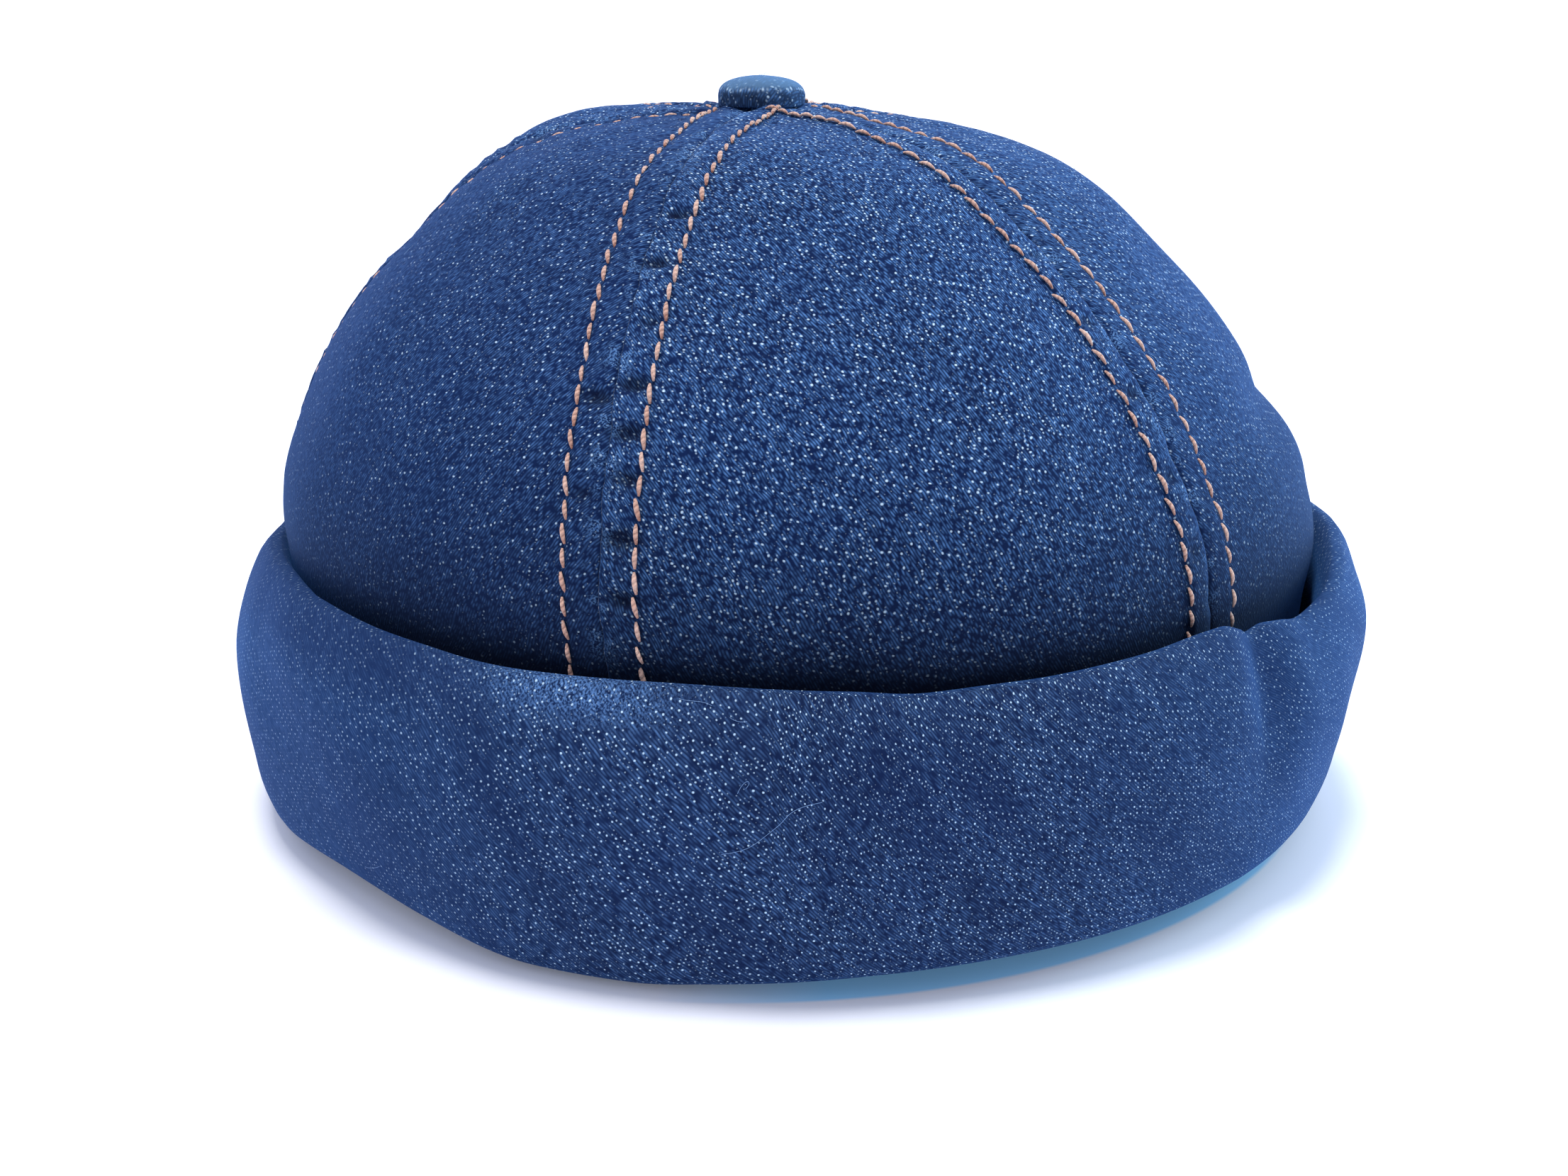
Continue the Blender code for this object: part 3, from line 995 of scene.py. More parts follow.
    def crown_swell(self, azimuth: Array, height: Array) -> Array:
        """How far the crown stands off its plain outline."""
        share = height / self.crown_height
        across = np.clip(self.seam_share(azimuth), 0, 1)
        rise = np.clip((share - 0.12) / 0.25, 0, 1) * np.clip((1.0 - share) / 0.03, 0, 1)
        puff = self.panel_puff * (np.sin(math.pi * across) ** 0.8 - 0.45) * rise
        return puff + relief(self.crown_relief, azimuth, share) * self.crown_radius * rise

    def crown_face(self, azimuth: Array, height: Array) -> Array:
        """Radius of the crown's face about its axis."""
        plain = ease(self.crown_profile, height / self.crown_height) * self.crown_radius
        return plain + self.crown_swell(azimuth, height)

    def crown_line(self, run: Array, half: float = 0.0012) -> tuple[Array, ...]:
        """Outline at a length along it from the lower edge.

        Args:
            run: Length along the outline.
            half: Half of the stretch from which the direction is read.

        Returns:
            Radius, height, and the outward direction across and up.
        """
        ahead, back = np.minimum(run + half, self.length), np.maximum(run - half, 0.0)
        across, up = (np.interp(ahead, self.run, line) - np.interp(back, self.run, line)
                      for line in (self.radii, self.levels))
        size = np.hypot(across, up)
        radius, height = (np.interp(run, self.run, line) for line in (self.radii, self.levels))
        return radius, height, up / size, -across / size

    def pucker(self, number: int, signed: Array, run: Array) -> tuple[Array, Array]:
        """Dents that the stitching draws into one seam's band.

        Args:
            number: Number of the seam, from 0.
            signed: Distance from the seam, with its side.
            run: Length along the outline from the lower edge.

        Returns:
            Height of the dents, and the wave that they follow.
        """
        left, right = ripple(run, 0.0070, 3 + number), ripple(run, 0.0070, 40 + number)
        waves = np.where(signed > 0, right, left) + 0.5 * ripple(run, 0.0082, 80 + number)
        share = np.clip(np.abs(signed) / self.band, 0, 1)
        dent = -self.pucker_depth * np.clip(waves - 0.05, 0, 1.2) ** 1.3
        dents = [row[1:] for row in self.dents if row[0] == number]
        small = 0.45 if dents else 1.2
        bow = share ** 0.3 * np.sin(math.pi * share) ** 0.7
        height = (dent + self.pucker_swell * waves) * small * bow
        for down, across, wide, tall, depth in dents:
            apart = ((signed - across) / wide) ** 2 + ((self.length - run - down) / tall) ** 2
            height = height - depth * np.exp(-apart)
        return height, waves

    def seam_depth(self, azimuth: Array, radius: Array, run: Array) -> Array:
        """Depth of the dents in the seams' bands, for their shade."""
        total = np.zeros(np.broadcast(azimuth, radius).shape)
        for number, seam in enumerate(self.seams):
            signed = self.beside(seam, azimuth, radius)
            total = total + np.maximum(-self.pucker(number, signed, run)[0], 0.0)
        return total

    def seam_relief(self, azimuth: Array, radius: Array, run: Array) -> Array:
        """Raised seam allowances, their puckers, the stitch rows and the seam line.

        Args:
            azimuth: Direction in degrees.
            radius: Distance from the crown's axis.
            run: Length along the outline from the lower edge.

        Returns:
            Height of this relief over the cloth.
        """
        total = np.zeros(np.broadcast(azimuth, radius).shape)
        for number, seam in enumerate(self.seams):
            signed = self.beside(seam, azimuth, radius)
            reach = np.abs(signed)
            inside = fall(reach, self.band * 0.86, self.band * 1.04)
            plateau = self.allowance * fall(reach, self.band * 0.90, self.band * 1.20)
            pucker, waves = self.pucker(number, signed, run)
            thread = np.abs(signed - self.stray(number, run))
            pulled = 0.5 + 0.5 * np.clip(ripple(run, 0.0110, 90 + number), -0.6, 1.0)
            line = -self.line_depth * pulled * np.exp(-((thread / self.line_width) ** 2))
            valley = -self.valley_depth * np.exp(-((thread / self.valley_width) ** 2))
            row = -self.row_depth * np.exp(-(((reach - self.band) / self.row_width) ** 2))
            outside = np.exp(-np.clip(reach - self.band, 0, None) / self.spread_reach)
            spread = -self.spread_depth * np.clip(waves, -0.4, 1.2) * outside * (1 - inside)
            total = total + plateau + pucker * inside + line + valley + row + spread
        return total * np.clip((self.length - run) / 0.004, 0, 1)

    def drape(self, azimuth: Array, run: Array) -> Array:
        """Slow undulation of the soft panels."""
        turn = np.radians(azimuth)
        share = run / self.length
        slow = np.sin(5 * turn + 9 * share + 0.6) * np.sin(11 * share + 2 * turn)
        quick = np.sin(13 * turn - 21 * share) * np.sin(8 * turn + 17 * share + 1.3)
        rise = np.clip((share - 0.2) / 0.2, 0, 1) * np.clip((1.0 - share) / 0.15, 0, 1)
        return (self.drape_slow * slow + self.drape_quick * quick) * rise

    def crown_point(self, azimuth: Array, run: Array, lift: float = 0.0) -> Array:
        """Points of the crown's dressed skin.

        Args:
            azimuth: Direction in degrees.
            run: Length along the outline from the lower edge.
            lift: Height over the skin.

        Returns:
            The points in the frame.
        """
        radius, height, across, up = self.crown_line(run)
        depth = self.crown_swell(azimuth, height) + self.seam_relief(azimuth, radius, run)
        depth = depth + self.drape(azimuth, run) + lift
        where = polar(self.lean_at(height), radius + depth * across, azimuth, height + depth * up)
        return where + np.array(self.shift)

    def crown_normal(self, azimuth: Array, run: Array) -> Array:
        """Outward direction of the crown's plain skin."""
        _, _, across, up = self.crown_line(run)
        turn = np.radians(azimuth)
        return layers(across * np.sin(turn), -across * np.cos(turn), up)


@dataclass
class CrownPanel:
    """One gore of the crown: outer and inner skin, closed along its rim."""

    form: HatForm
    number: int
    face: bpy.types.Material
    reverse: bpy.types.Material
    edge_share: float = 0.088
    edge_steps: int = 18
    middle_steps: int = 38
    rows: int = 236
    seam_gap: float = 0.00006

    def columns(self) -> Array:
        """Shares across the panel, close together beside both seams."""
        edge = np.linspace(0.0, self.edge_share, self.edge_steps + 1)
        middle = np.linspace(self.edge_share, 1.0 - self.edge_share, self.middle_steps + 1)
        return np.concatenate([edge, middle[1:-1], 1.0 - edge[::-1]])

    def build(self) -> bpy.types.Object:
        """Returns:
            The new piece.
        """
        form, number, gap = self.form, self.number, self.seam_gap / 2
        start, end = (*form.seams, form.seams[0] + 360.0)[number - 1:number + 1]
        runs = np.linspace(0.0, form.length, self.rows + 1)[:, None]
        radius = form.crown_line(runs)[0]
        first = start + np.degrees((form.stray(number - 1, runs) + gap) / radius)
        last = end + np.degrees((form.stray(number, runs) - gap) / radius)
        azimuth = first + (last - first) * self.columns()[None, :]
        outer = form.crown_point(azimuth, runs)
        inner = form.crown_point(azimuth, runs, -form.crown_cloth)
        middle = (start + end) / 2
        offset = 0.2 * number
        along = form.length - runs + np.where(azimuth > middle, TopStitching.stagger, 0.0)
        depth = form.seam_depth(azimuth, radius, runs)
        piece = self.join(outer, inner, {
            "cloth": layers(np.radians(azimuth - middle) * radius + offset, runs),
            "seam": layers(form.seam_reach(azimuth, radius, runs), along),
            "fold": layers(depth, depth),
        })
        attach(piece, "root")
        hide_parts(f"crown_panel_{self.number}")
        return piece

    def join(self, outer: Array, inner: Array, maps: dict[str, Array]) -> bpy.types.Object:
        """Close two grids of points into one sheet.

        Args:
            outer: Grid of the outer skin.
            inner: Grid of the inner skin.
            maps: UV coordinates of the grid, by the map's name.

        Returns:
            The panel's object.
        """
        rows, columns = outer.shape[:2]
        below = rows * columns
        index = np.arange(below).reshape(rows, columns)
        corners = (index[:-1, :-1], index[:-1, 1:], index[1:, 1:], index[1:, :-1])
        front = np.stack([corner.ravel() for corner in corners], axis=1)
        back = front[:, ::-1] + below
        rim = np.concatenate([index[0, :], index[1:, -1], index[-1, -2::-1], index[-2:0:-1, 0]])
        turn = np.roll(rim, -1)
        edge = np.stack([rim, rim + below, turn + below, turn], axis=1)
        faces = np.concatenate([front, back, edge])
        slots = [0] * len(front) + [1] * (len(back) + len(edge))
        points = np.concatenate([outer.reshape(-1, 3), inner.reshape(-1, 3)])
        name = f"crown_cloth_{self.number}"
        piece = new_piece(name, points, faces.tolist(), slots, [self.face, self.reverse])
        for key, grid in maps.items():
            flat = grid.reshape(-1, 2)
            uv_map(piece.data, key, np.concatenate([flat, flat]))
        return piece


@dataclass
class TopStitching:
    """Two rows of copper stitches along one seam, copied from one modelled stitch."""

    form: HatForm
    number: int
    finish: bpy.types.Material
    lift: float = PROUD_LIFT
    # One stitch: its thread's radius and flatness, its bow, the sink of its ends, its widths
    length: float = 0.0031
    thread: float = 0.00039
    flat: float = 0.45
    bow: float = 0.00036
    sink: float = 0.00022
    widths: tuple[float, ...] = (1.75, 1.25, 1.0, 0.86, 0.55)
    # Rows: radius of their upper end, length below their lower end, pitches and stagger
    row_end: float = 0.0086
    row_start: float = 0.014
    pitch: float = 0.0036
    top_pitch: float = 0.0021
    top_reach: float = 0.0340
    stagger: float = 0.0011
    probe: float = 0.0009

    def template(self) -> tuple[Array, list, Array]:
        """Model one stitch: a bowed bar of thread with tucked ends.

        Returns:
            Its vertices, faces and UV corners.
        """
        deselect_all()
        bpy.ops.mesh.primitive_circle_add(
            vertices=7, radius=self.thread, fill_type="NGON",
            location=(-self.length / 2, 0, 0), rotation=(0, math.pi / 2, 0))
        bar = bpy.context.object
        bpy.ops.object.transform_apply(location=True, rotation=True, scale=True)
        bpy.ops.object.mode_set(mode="EDIT")
        bpy.ops.mesh.select_all(action="SELECT")
        bpy.ops.transform.resize(value=(1, self.flat, self.flat))
        step = self.length / len(self.widths)
        for width in self.widths:
            bpy.ops.mesh.extrude_region_move(TRANSFORM_OT_translate={"value": (step, 0, 0)})
            bpy.ops.transform.resize(value=(1, width, width))
        bpy.ops.object.mode_set(mode="OBJECT")
        points = np.array([v.co[:] for v in bar.data.vertices])
        share = points[:, 0] / self.length + 0.5
        points[:, 2] = points[:, 2] * 0.8 + self.bow * np.sin(math.pi * share) - self.sink
        faces = [list(p.vertices) for p in bar.data.polygons]
        corners = []
        for face in faces:
            spots = points[face]
            angles = np.degrees(np.arctan2(spots[:, 1], spots[:, 2]))
            turns = np.radians(angles)
            middle = np.degrees(np.arctan2(np.sin(turns).sum(), np.cos(turns).sum()))
            corners.extend(zip((middle + turned(angles, middle)) / MM, spots[:, 0]))
        bpy.data.objects.remove(bar, do_unlink=True)
        return points, faces, np.array(corners)

    def spacing(self, side: Side) -> tuple[Array, Array, Array]:
        """Where one row's stitches sit, closer together near the button.

        Args:
            side: Side of the seam.

        Returns:
            Length along the outline, pitch, and length of each stitch as a share of the pitch.
        """
        form = self.form
        phase = self.stagger / 2 if side is Side.LEFT else 0.0
        last = float(np.interp(-self.row_end, -form.radii, form.run))
        down, steps, dense = [form.length - last + phase], [], []
        while down[-1] < form.length - self.row_start:
            full = 1.0 - float(fall(np.array(down[-1]), 0.004, self.top_reach))
            steps.append(self.top_pitch + (self.pitch - self.top_pitch) * full)
            dense.append(1.30 - 0.24 * full)
            down.append(down[-1] + steps[-1])
        pitch = np.array(steps)
        return form.length - np.array(down[:-1]) - pitch / 2, pitch, np.array(dense)

    def places(self, side: Side) -> tuple[Array, Array]:
        """Centres and directions of one row's stitches.

        Args:
            side: Side of the seam.

        Returns:
            The centres, and the turning matrices.
        """
        form = self.form
        run, pitch, dense = self.spacing(side)
        spots = []
        for along in (run - self.probe, run, run + self.probe):
            sine = np.minimum(form.band / form.crown_line(along)[0], 0.999)
            azimuth = form.seams[self.number - 1] + side.value * np.degrees(np.arcsin(sine))
            spots.append(form.crown_point(azimuth, along, self.lift))
        along = spots[2] - spots[0]
        along /= np.linalg.norm(along, axis=1)[:, None]
        up = form.crown_normal(azimuth, run)
        up -= (up * along).sum(axis=1)[:, None] * along
        up /= np.linalg.norm(up, axis=1)[:, None]
        across = np.cross(up, along)
        rng = np.random.default_rng(7 * self.number + side.value)
        slant = np.radians(rng.normal(8.0, 4.0, len(run)))[:, None]
        ahead = along * np.cos(slant) + across * np.sin(slant)
        aside = across * np.cos(slant) - along * np.sin(slant)
        grow = rng.normal(1.0, 0.05, (len(run), 1, 1)) * np.ones((1, 1, 3))
        grow[:, 0, 0] *= np.clip(pitch / self.pitch * dense, 0.0, 1.0)
        centre = spots[1] + across * rng.normal(0, 0.00007, (len(run), 1))
        return centre, np.stack([ahead, aside, up], axis=2) * grow

    def build(self) -> bpy.types.Object:
        """Copy the stitch along both rows.

        Returns:
            The new piece.
        """
        points, faces, corners = self.template()
        all_points, all_faces, all_corners = [], [], []
        for side in Side:
            for centre, turn in zip(*self.places(side)):
                base = len(all_points) * len(points)
                all_points.append(points @ turn.T + centre)
                all_faces.extend([[base + i for i in face] for face in faces])
                all_corners.append(corners + [[0.0, Thread.step / MM * len(all_points)]])
        slots, spots = [0] * len(all_faces), np.concatenate(all_points)
        name = f"stitches_{self.number}"
        piece = new_piece(name, spots, all_faces, slots, [self.finish], closed=False)
        layer = piece.data.uv_layers.new(name="twist")
        layer.data.foreach_set("uv", np.concatenate(all_corners).astype(np.float32).ravel())
        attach(piece, "root")
        log.info("%s: %d stitches", name, len(all_points))
        return piece


class Stretch(Enum):
    """Stretch of the cuff's strip: out from under the crown to the wall, or into the pocket."""

    OUTWARD = "outward"
    POCKET = "pocket"


@dataclass
class Cuff:
    """The turned-up strip: band, bottom fold, outer wall, top roll and the leg in the pocket."""

    form: HatForm
    face: bpy.types.Material
    reverse: bpy.types.Material
    columns: int = 640
    stations: int = 72
    mean_stand: float = 0.4
    wall_stand: float = 0.95
    crumple_slow: float = 0.00050
    crumple_quick: float = 0.00024
    crumple_bias: float = 0.00030

    # Share across and share of the cuff's height, from the band's top to the pocket
    path: tuple[tuple[Stretch, Rows], ...] = (
        (Stretch.OUTWARD, (
            (0.00, 0.480), (0.00, 0.260), (0.00, 0.100), (0.05, 0.030), (0.18, 0.000),
            (0.44, 0.000), (0.64, 0.034), (0.78, 0.115), (0.88, 0.260), (0.97, 0.460),
            (1.00, 0.650))),
        (Stretch.POCKET, (
            (0.93, 0.790), (0.76, 0.890), (0.53, 0.962), (0.27, 1.000), (0.07, 0.965),
            (0.00, 0.860), (0.04, 0.660), (0.16, 0.400))),
    )
    # Height of the top fold: azimuth and change as a share of the cuff's height
    top: Rows = (
        (-180.0, 0.090), (-150.0, 0.060), (-120.0, 0.050), (-96.0, 0.030), (-76.0, 0.060),
        (-60.0, 0.085), (-48.0, 0.080), (-36.0, 0.055), (-24.0, 0.034), (-6.0, 0.036),
        (4.0, 0.030), (11.0, 0.010), (18.0, 0.018), (26.0, 0.030), (33.0, 0.042),
        (38.0, 0.052), (42.5, 0.060), (44.8, 0.042), (46.8, 0.006), (49.0, 0.026), (51.5, 0.018),
        (55.0, -0.004), (60.0, 0.014), (70.0, 0.050), (95.0, 0.060), (120.0, 0.040), (150.0, 0.075),
    )
    # Lift of the bottom fold off the table: azimuth and share of the fold's lift
    lift: Rows = (
        (-180.0, 0.00), (-84.0, 0.00), (-68.0, 0.25), (-52.0, 0.80), (-38.0, 0.55), (-25.0, 0.00),
        (-15.0, 0.00), (-8.0, 0.25), (0.0, 0.50), (8.0, 0.75), (20.0, 0.95), (35.0, 1.05),
        (52.0, 1.10), (66.0, 0.95), (80.0, 0.45), (96.0, 0.00), (150.0, 0.00),
    )
    # Swells and creases: azimuth, height share, half width, half height, depth by the stand
    swells: Rows = (
        (46.8, 0.95, 3.4, 0.42, -0.24),
        (53.0, 0.80, 5.0, 0.40, 0.10),
        (41.0, 0.88, 4.6, 0.30, 0.09),
        (74.0, 0.80, 16.0, 0.30, 0.10),
        (12.0, 0.70, 8.0, 0.40, -0.06),
        (-54.0, 0.62, 7.0, 0.34, -0.08),
        (-47.0, 0.05, 15.0, 0.34, -0.30),
        (66.0, 0.05, 16.0, 0.34, -0.12),
        (-82.0, 0.90, 20.0, 0.28, -0.20),
        (-30.0, 0.45, 14.0, 0.50, 0.07),
        (118.0, 0.60, 9.0, 0.50, -0.15),
        (146.0, 0.55, 16.0, 0.50, 0.10),
        (-150.0, 0.60, 12.0, 0.50, -0.14),
        (-124.0, 0.55, 14.0, 0.50, 0.10),
    )
    # Push of the inner leg away from the crown: azimuth and share across the pocket
    opened: Rows = (
        (-180.0, 0.12), (-140.0, 0.04), (-104.0, -0.16), (-72.0, -0.18), (-58.0, -0.08),
        (-52.0, 0.10), (-46.0, 0.28), (-40.0, 0.35), (-33.0, 0.32), (-24.0, 0.24), (-12.0, 0.15),
        (10.0, 0.10), (32.0, 0.12), (38.0, 0.14), (43.0, 0.30), (49.0, 0.46), (60.0, 0.48),
        (74.0, 0.22), (90.0, 0.04), (120.0, 0.06), (150.0, 0.14),
    )

    def line(self, azimuth: Array, stretch: Stretch, across: float, level: float) -> Array:
        """Radius and height of one station of the strip's middle line.

        Args:
            azimuth: Directions in degrees.
            stretch: Stretch of the strip.
            across: Share across that stretch.
            level: Share of the cuff's height.

        Returns:
            Radius and height for each azimuth.
        """
        form = self.form
        half = form.cuff_cloth / 2
        top = form.cuff_height * (1.0 + around(self.top, azimuth)) - form.cuff_cloth
        lift = form.fold_lift * around(self.lift, azimuth) * (1.0 - min(level / 0.9, 1.0)) ** 1.5
        height = half + level * top + lift
        face = form.crown_face(azimuth, height) + form.lean_at(height) * np.sin(np.radians(azimuth))
        wall = form.crown_radius + form.cuff_stand - half
        wall = wall + form.cuff_stand * relief(self.swells, azimuth, np.array(level))
        if stretch is Stretch.POCKET:
            near = face + form.seat_gap + half
            opened = around(self.opened, azimuth) * (1.0 - across) ** 1.5
            radius = near + np.maximum(0.0, across + opened) * (wall - near)
        else:
            band = face - form.crown_cloth - form.seat_gap - half
            radius = band + across * (wall - band)
        return np.stack([radius, height], axis=-1)

    def middle_line(self, azimuth: Array) -> tuple[Array, Array]:
        """Smooth middle line of the strip through its stations.

        Args:
            azimuth: Directions in degrees.

        Returns:
            Radius and height by station and azimuth, and the mean length up to each station.
        """
        stations = [(stretch, *row) for stretch, rows in self.path for row in rows]
        knots = np.stack([self.line(azimuth, *station) for station in stations])
        chord = np.linalg.norm(np.diff(knots, axis=0), axis=2).mean(axis=1)
        at = np.concatenate([[0.0], np.cumsum(chord)])
        slope = np.diff(knots, axis=0) / chord[:, None, None]
        tangent = np.empty_like(knots)
        share = (chord[1:] / (chord[1:] + chord[:-1]))[:, None, None]
        tangent[1:-1] = slope[:-1] * share + slope[1:] * (1 - share)
        tangent[0], tangent[-1] = slope[0], slope[-1]
        run = np.linspace(0.0, at[-1], self.stations)
        i = np.clip(np.searchsorted(at, run, side="right") - 1, 0, len(chord) - 1)
        t = ((run - at[i]) / chord[i])[:, None, None]
        ends, slopes = (knots[i], knots[i + 1]), (tangent[i], tangent[i + 1])
        return cubic(t, chord[i][:, None, None], ends, slopes), run

    def faces(self, azimuth: Array) -> tuple[Array, Array, Array]:
        """Both faces of the strip.

        Args:
            azimuth: Directions in degrees.

        Returns:
            Points of the denim face and of the reverse by station, and the run of the stations.
        """
        middle, run = self.middle_line(azimuth)
        along = np.gradient(middle, axis=0)
        along /= np.linalg.norm(along, axis=2)[:, :, None]
        side = np.stack([along[:, :, 1], -along[:, :, 0]], axis=-1)
        lift = self.form.fold_lift * around(self.lift, azimuth)
        made = []
        for reach in (self.form.cuff_cloth / 2, -self.form.cuff_cloth / 2):
            skin = middle + side * reach
            height = np.maximum(skin[:, :, 1], lift[None, :])
            spots = polar(np.zeros(1), skin[:, :, 0], azimuth[None, :], height)
            made.append(spots + np.array(self.form.shift))
        return made[0], made[1], run

    def crumple(self, azimuth: Array, run: Array) -> Array:
        """Small soft folds of the standing cloth.

        Args:
            azimuth: Directions in degrees, by station and column.
            run: Length along the strip, by station and column.

        Returns:
            Outward change of radius.
        """
        turn = np.radians(azimuth)
        slow = np.sin(4 * turn + 60 * run + 0.4) * np.sin(9 * turn - 35 * run)
        quick = np.sin(17 * turn + 110 * run) * np.sin(11 * turn - 70 * run + 2.0)
        bias = np.sin(12 * turn + 170 * run + 0.8 * np.sin(5 * turn)) * np.sin(3 * turn + 1.0) ** 2
        rise, sink = (np.clip(part / 0.02, 0, 1) for part in (run - 0.040, 0.125 - run))
        folds = self.crumple_slow * slow + self.crumple_quick * quick + self.crumple_bias * bias
        return folds * (rise * sink)

    def build(self) -> bpy.types.Object:
        """Returns:
            The new piece.
        """
        azimuth = np.linspace(-180.0, 180.0, self.columns, endpoint=False)
        front, back, run = self.faces(azimuth)
        turn = np.radians(azimuth)[None, :]
        out = layers(np.sin(turn), -np.cos(turn), 0 * turn)
        change = out * self.crumple(azimuth[None, :], run[:, None])[:, :, None]
        loop = np.concatenate([front + change, (back + change)[::-1]])
        size, count = loop.shape[:2]
        index = np.arange(size * count).reshape(size, count)
        ahead, aside = np.roll(index, -1, axis=0), np.roll(index, -1, axis=1)
        corner = np.roll(ahead, -1, axis=1)
        faces = np.stack([index, ahead, corner, aside], axis=-1).reshape(-1, 4).tolist()
        slots = np.ones((size, count), dtype=int)
        slots[: self.stations - 1] = 0
        slots, finishes = slots.ravel().tolist(), [self.face, self.reverse]
        piece = new_piece("cuff_cloth", loop.reshape(-1, 3), faces, slots, finishes)
        wall = self.form.crown_radius + self.form.cuff_stand * self.wall_stand
        both = np.concatenate([run, run[::-1]])[:, None]
        uv_map(piece.data, "cloth", layers(turn * wall, both).reshape(-1, 2))
        self.close_wrap(piece.data, WHOLE_TURN * wall)
        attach(piece, "root")
        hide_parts("cuff")
        return piece

    def close_wrap(self, mesh: bpy.types.Mesh, length: float) -> None:
        """Carry the cloth coordinates past the back, where the strip meets itself.

        Args:
            mesh: The cuff's mesh.
            length: The strip's length.
        """
        layer = mesh.uv_layers["cloth"]
        values = np.empty(len(mesh.loops) * 2, dtype=np.float32)
        layer.data.foreach_get("uv", values)
        corners = values.reshape(-1, 4, 2)
        across = corners[:, :, 0]
        wide = np.ptp(across, axis=1) > length / 2
        low = wide[:, None] & (across < 0)
        across[low] += length
        layer.data.foreach_set("uv", corners.ravel())


@dataclass
class Button:
    """Cloth-covered button: a ball pressed to the low dome of a covered disc."""

    form: HatForm
    finish: bpy.types.Material
    gathers: int = 9
    fold_depth: float = 0.022
    soft_depth: float = 0.012
    inset: float = 0.985

    # Share of the way from the top to the middle of the underside, radius share, height share
    outline: Rows = (
        (0.00, 0.000, 1.000), (0.10, 0.220, 0.992), (0.20, 0.450, 0.955), (0.29, 0.690, 0.870),
        (0.37, 0.870, 0.730), (0.45, 0.970, 0.540), (0.53, 1.000, 0.320), (0.60, 0.995, 0.090),
        (0.65, 0.940, 0.000), (0.80, 0.560, 0.030), (1.00, 0.000, 0.060),
    )

    def build(self) -> bpy.types.Object:
        """Make the button over its solid.

        Returns:
            The new piece.
        """
        low, high = (Vector(corner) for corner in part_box("button"))
        radius = (high.x - low.x) / 2
        seat = self.form.crown_height + self.form.seat_gap
        height = high.z - seat
        centre = Vector(((low.x + high.x) / 2, (low.y + high.y) / 2, seat))
        deselect_all()
        bpy.ops.mesh.primitive_uv_sphere_add(segments=96, ring_count=64, radius=1.0)
        piece = bpy.context.object
        piece.name = "button_cloth"
        self.press(piece.data, centre, radius, height)
        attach(piece, "root")
        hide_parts("button")
        log.info("%s: %.1f mm across, %.1f mm high", piece.name, radius * 2 * MM, height * MM)
        return piece

    def press(self, mesh: bpy.types.Mesh, centre: Vector, radius: float, height: float) -> None:
        """Press the ball to the button's outline, gather its rim and map its cloth.

        Args:
            mesh: The ball's mesh.
            centre: Middle of the button's seat.
            radius: Radius of the solid.
            height: Height of the solid over its seat.
        """
        ball = np.array([v.co[:] for v in mesh.vertices])
        turn = np.arctan2(ball[:, 0], -ball[:, 1])
        share = np.arccos(np.clip(ball[:, 2], -1, 1)) / math.pi
        reach = ease(tuple((at, wide) for at, wide, _ in self.outline), share)
        level = ease(tuple((at, tall) for at, _, tall in self.outline), share)
        rim = np.exp(-(((share - 0.56) / 0.10) ** 2))
        folds = self.fold_depth * np.sin(self.gathers * turn + 1.2 * np.sin(2 * turn)) * rim
        dome = np.sin(math.pi * np.clip(share / 0.6, 0, 1))
        soft = self.soft_depth * np.sin(2 * turn + 0.7) * dome
        reach = reach * (self.inset + folds * 0.7)
        level = level * (self.inset + soft) - 0.030 * np.sin(3 * turn) * rim
        across, away = reach * np.sin(turn) * radius, -reach * np.cos(turn) * radius
        spots = layers(across, away, level * height) + np.array(centre)
        mesh.vertices.foreach_set("co", spots.ravel())
        while mesh.uv_layers:
            mesh.uv_layers.remove(mesh.uv_layers[0])
        length = share * 1.75 * radius
        uv_map(mesh, "cloth", layers(length * np.sin(turn) + 1.6, length * np.cos(turn)))
        uv_map(mesh, "rim", layers(turn * radius, share / MM))
        mesh.materials.append(self.finish)
        mesh.shade_smooth()
        mesh.update()


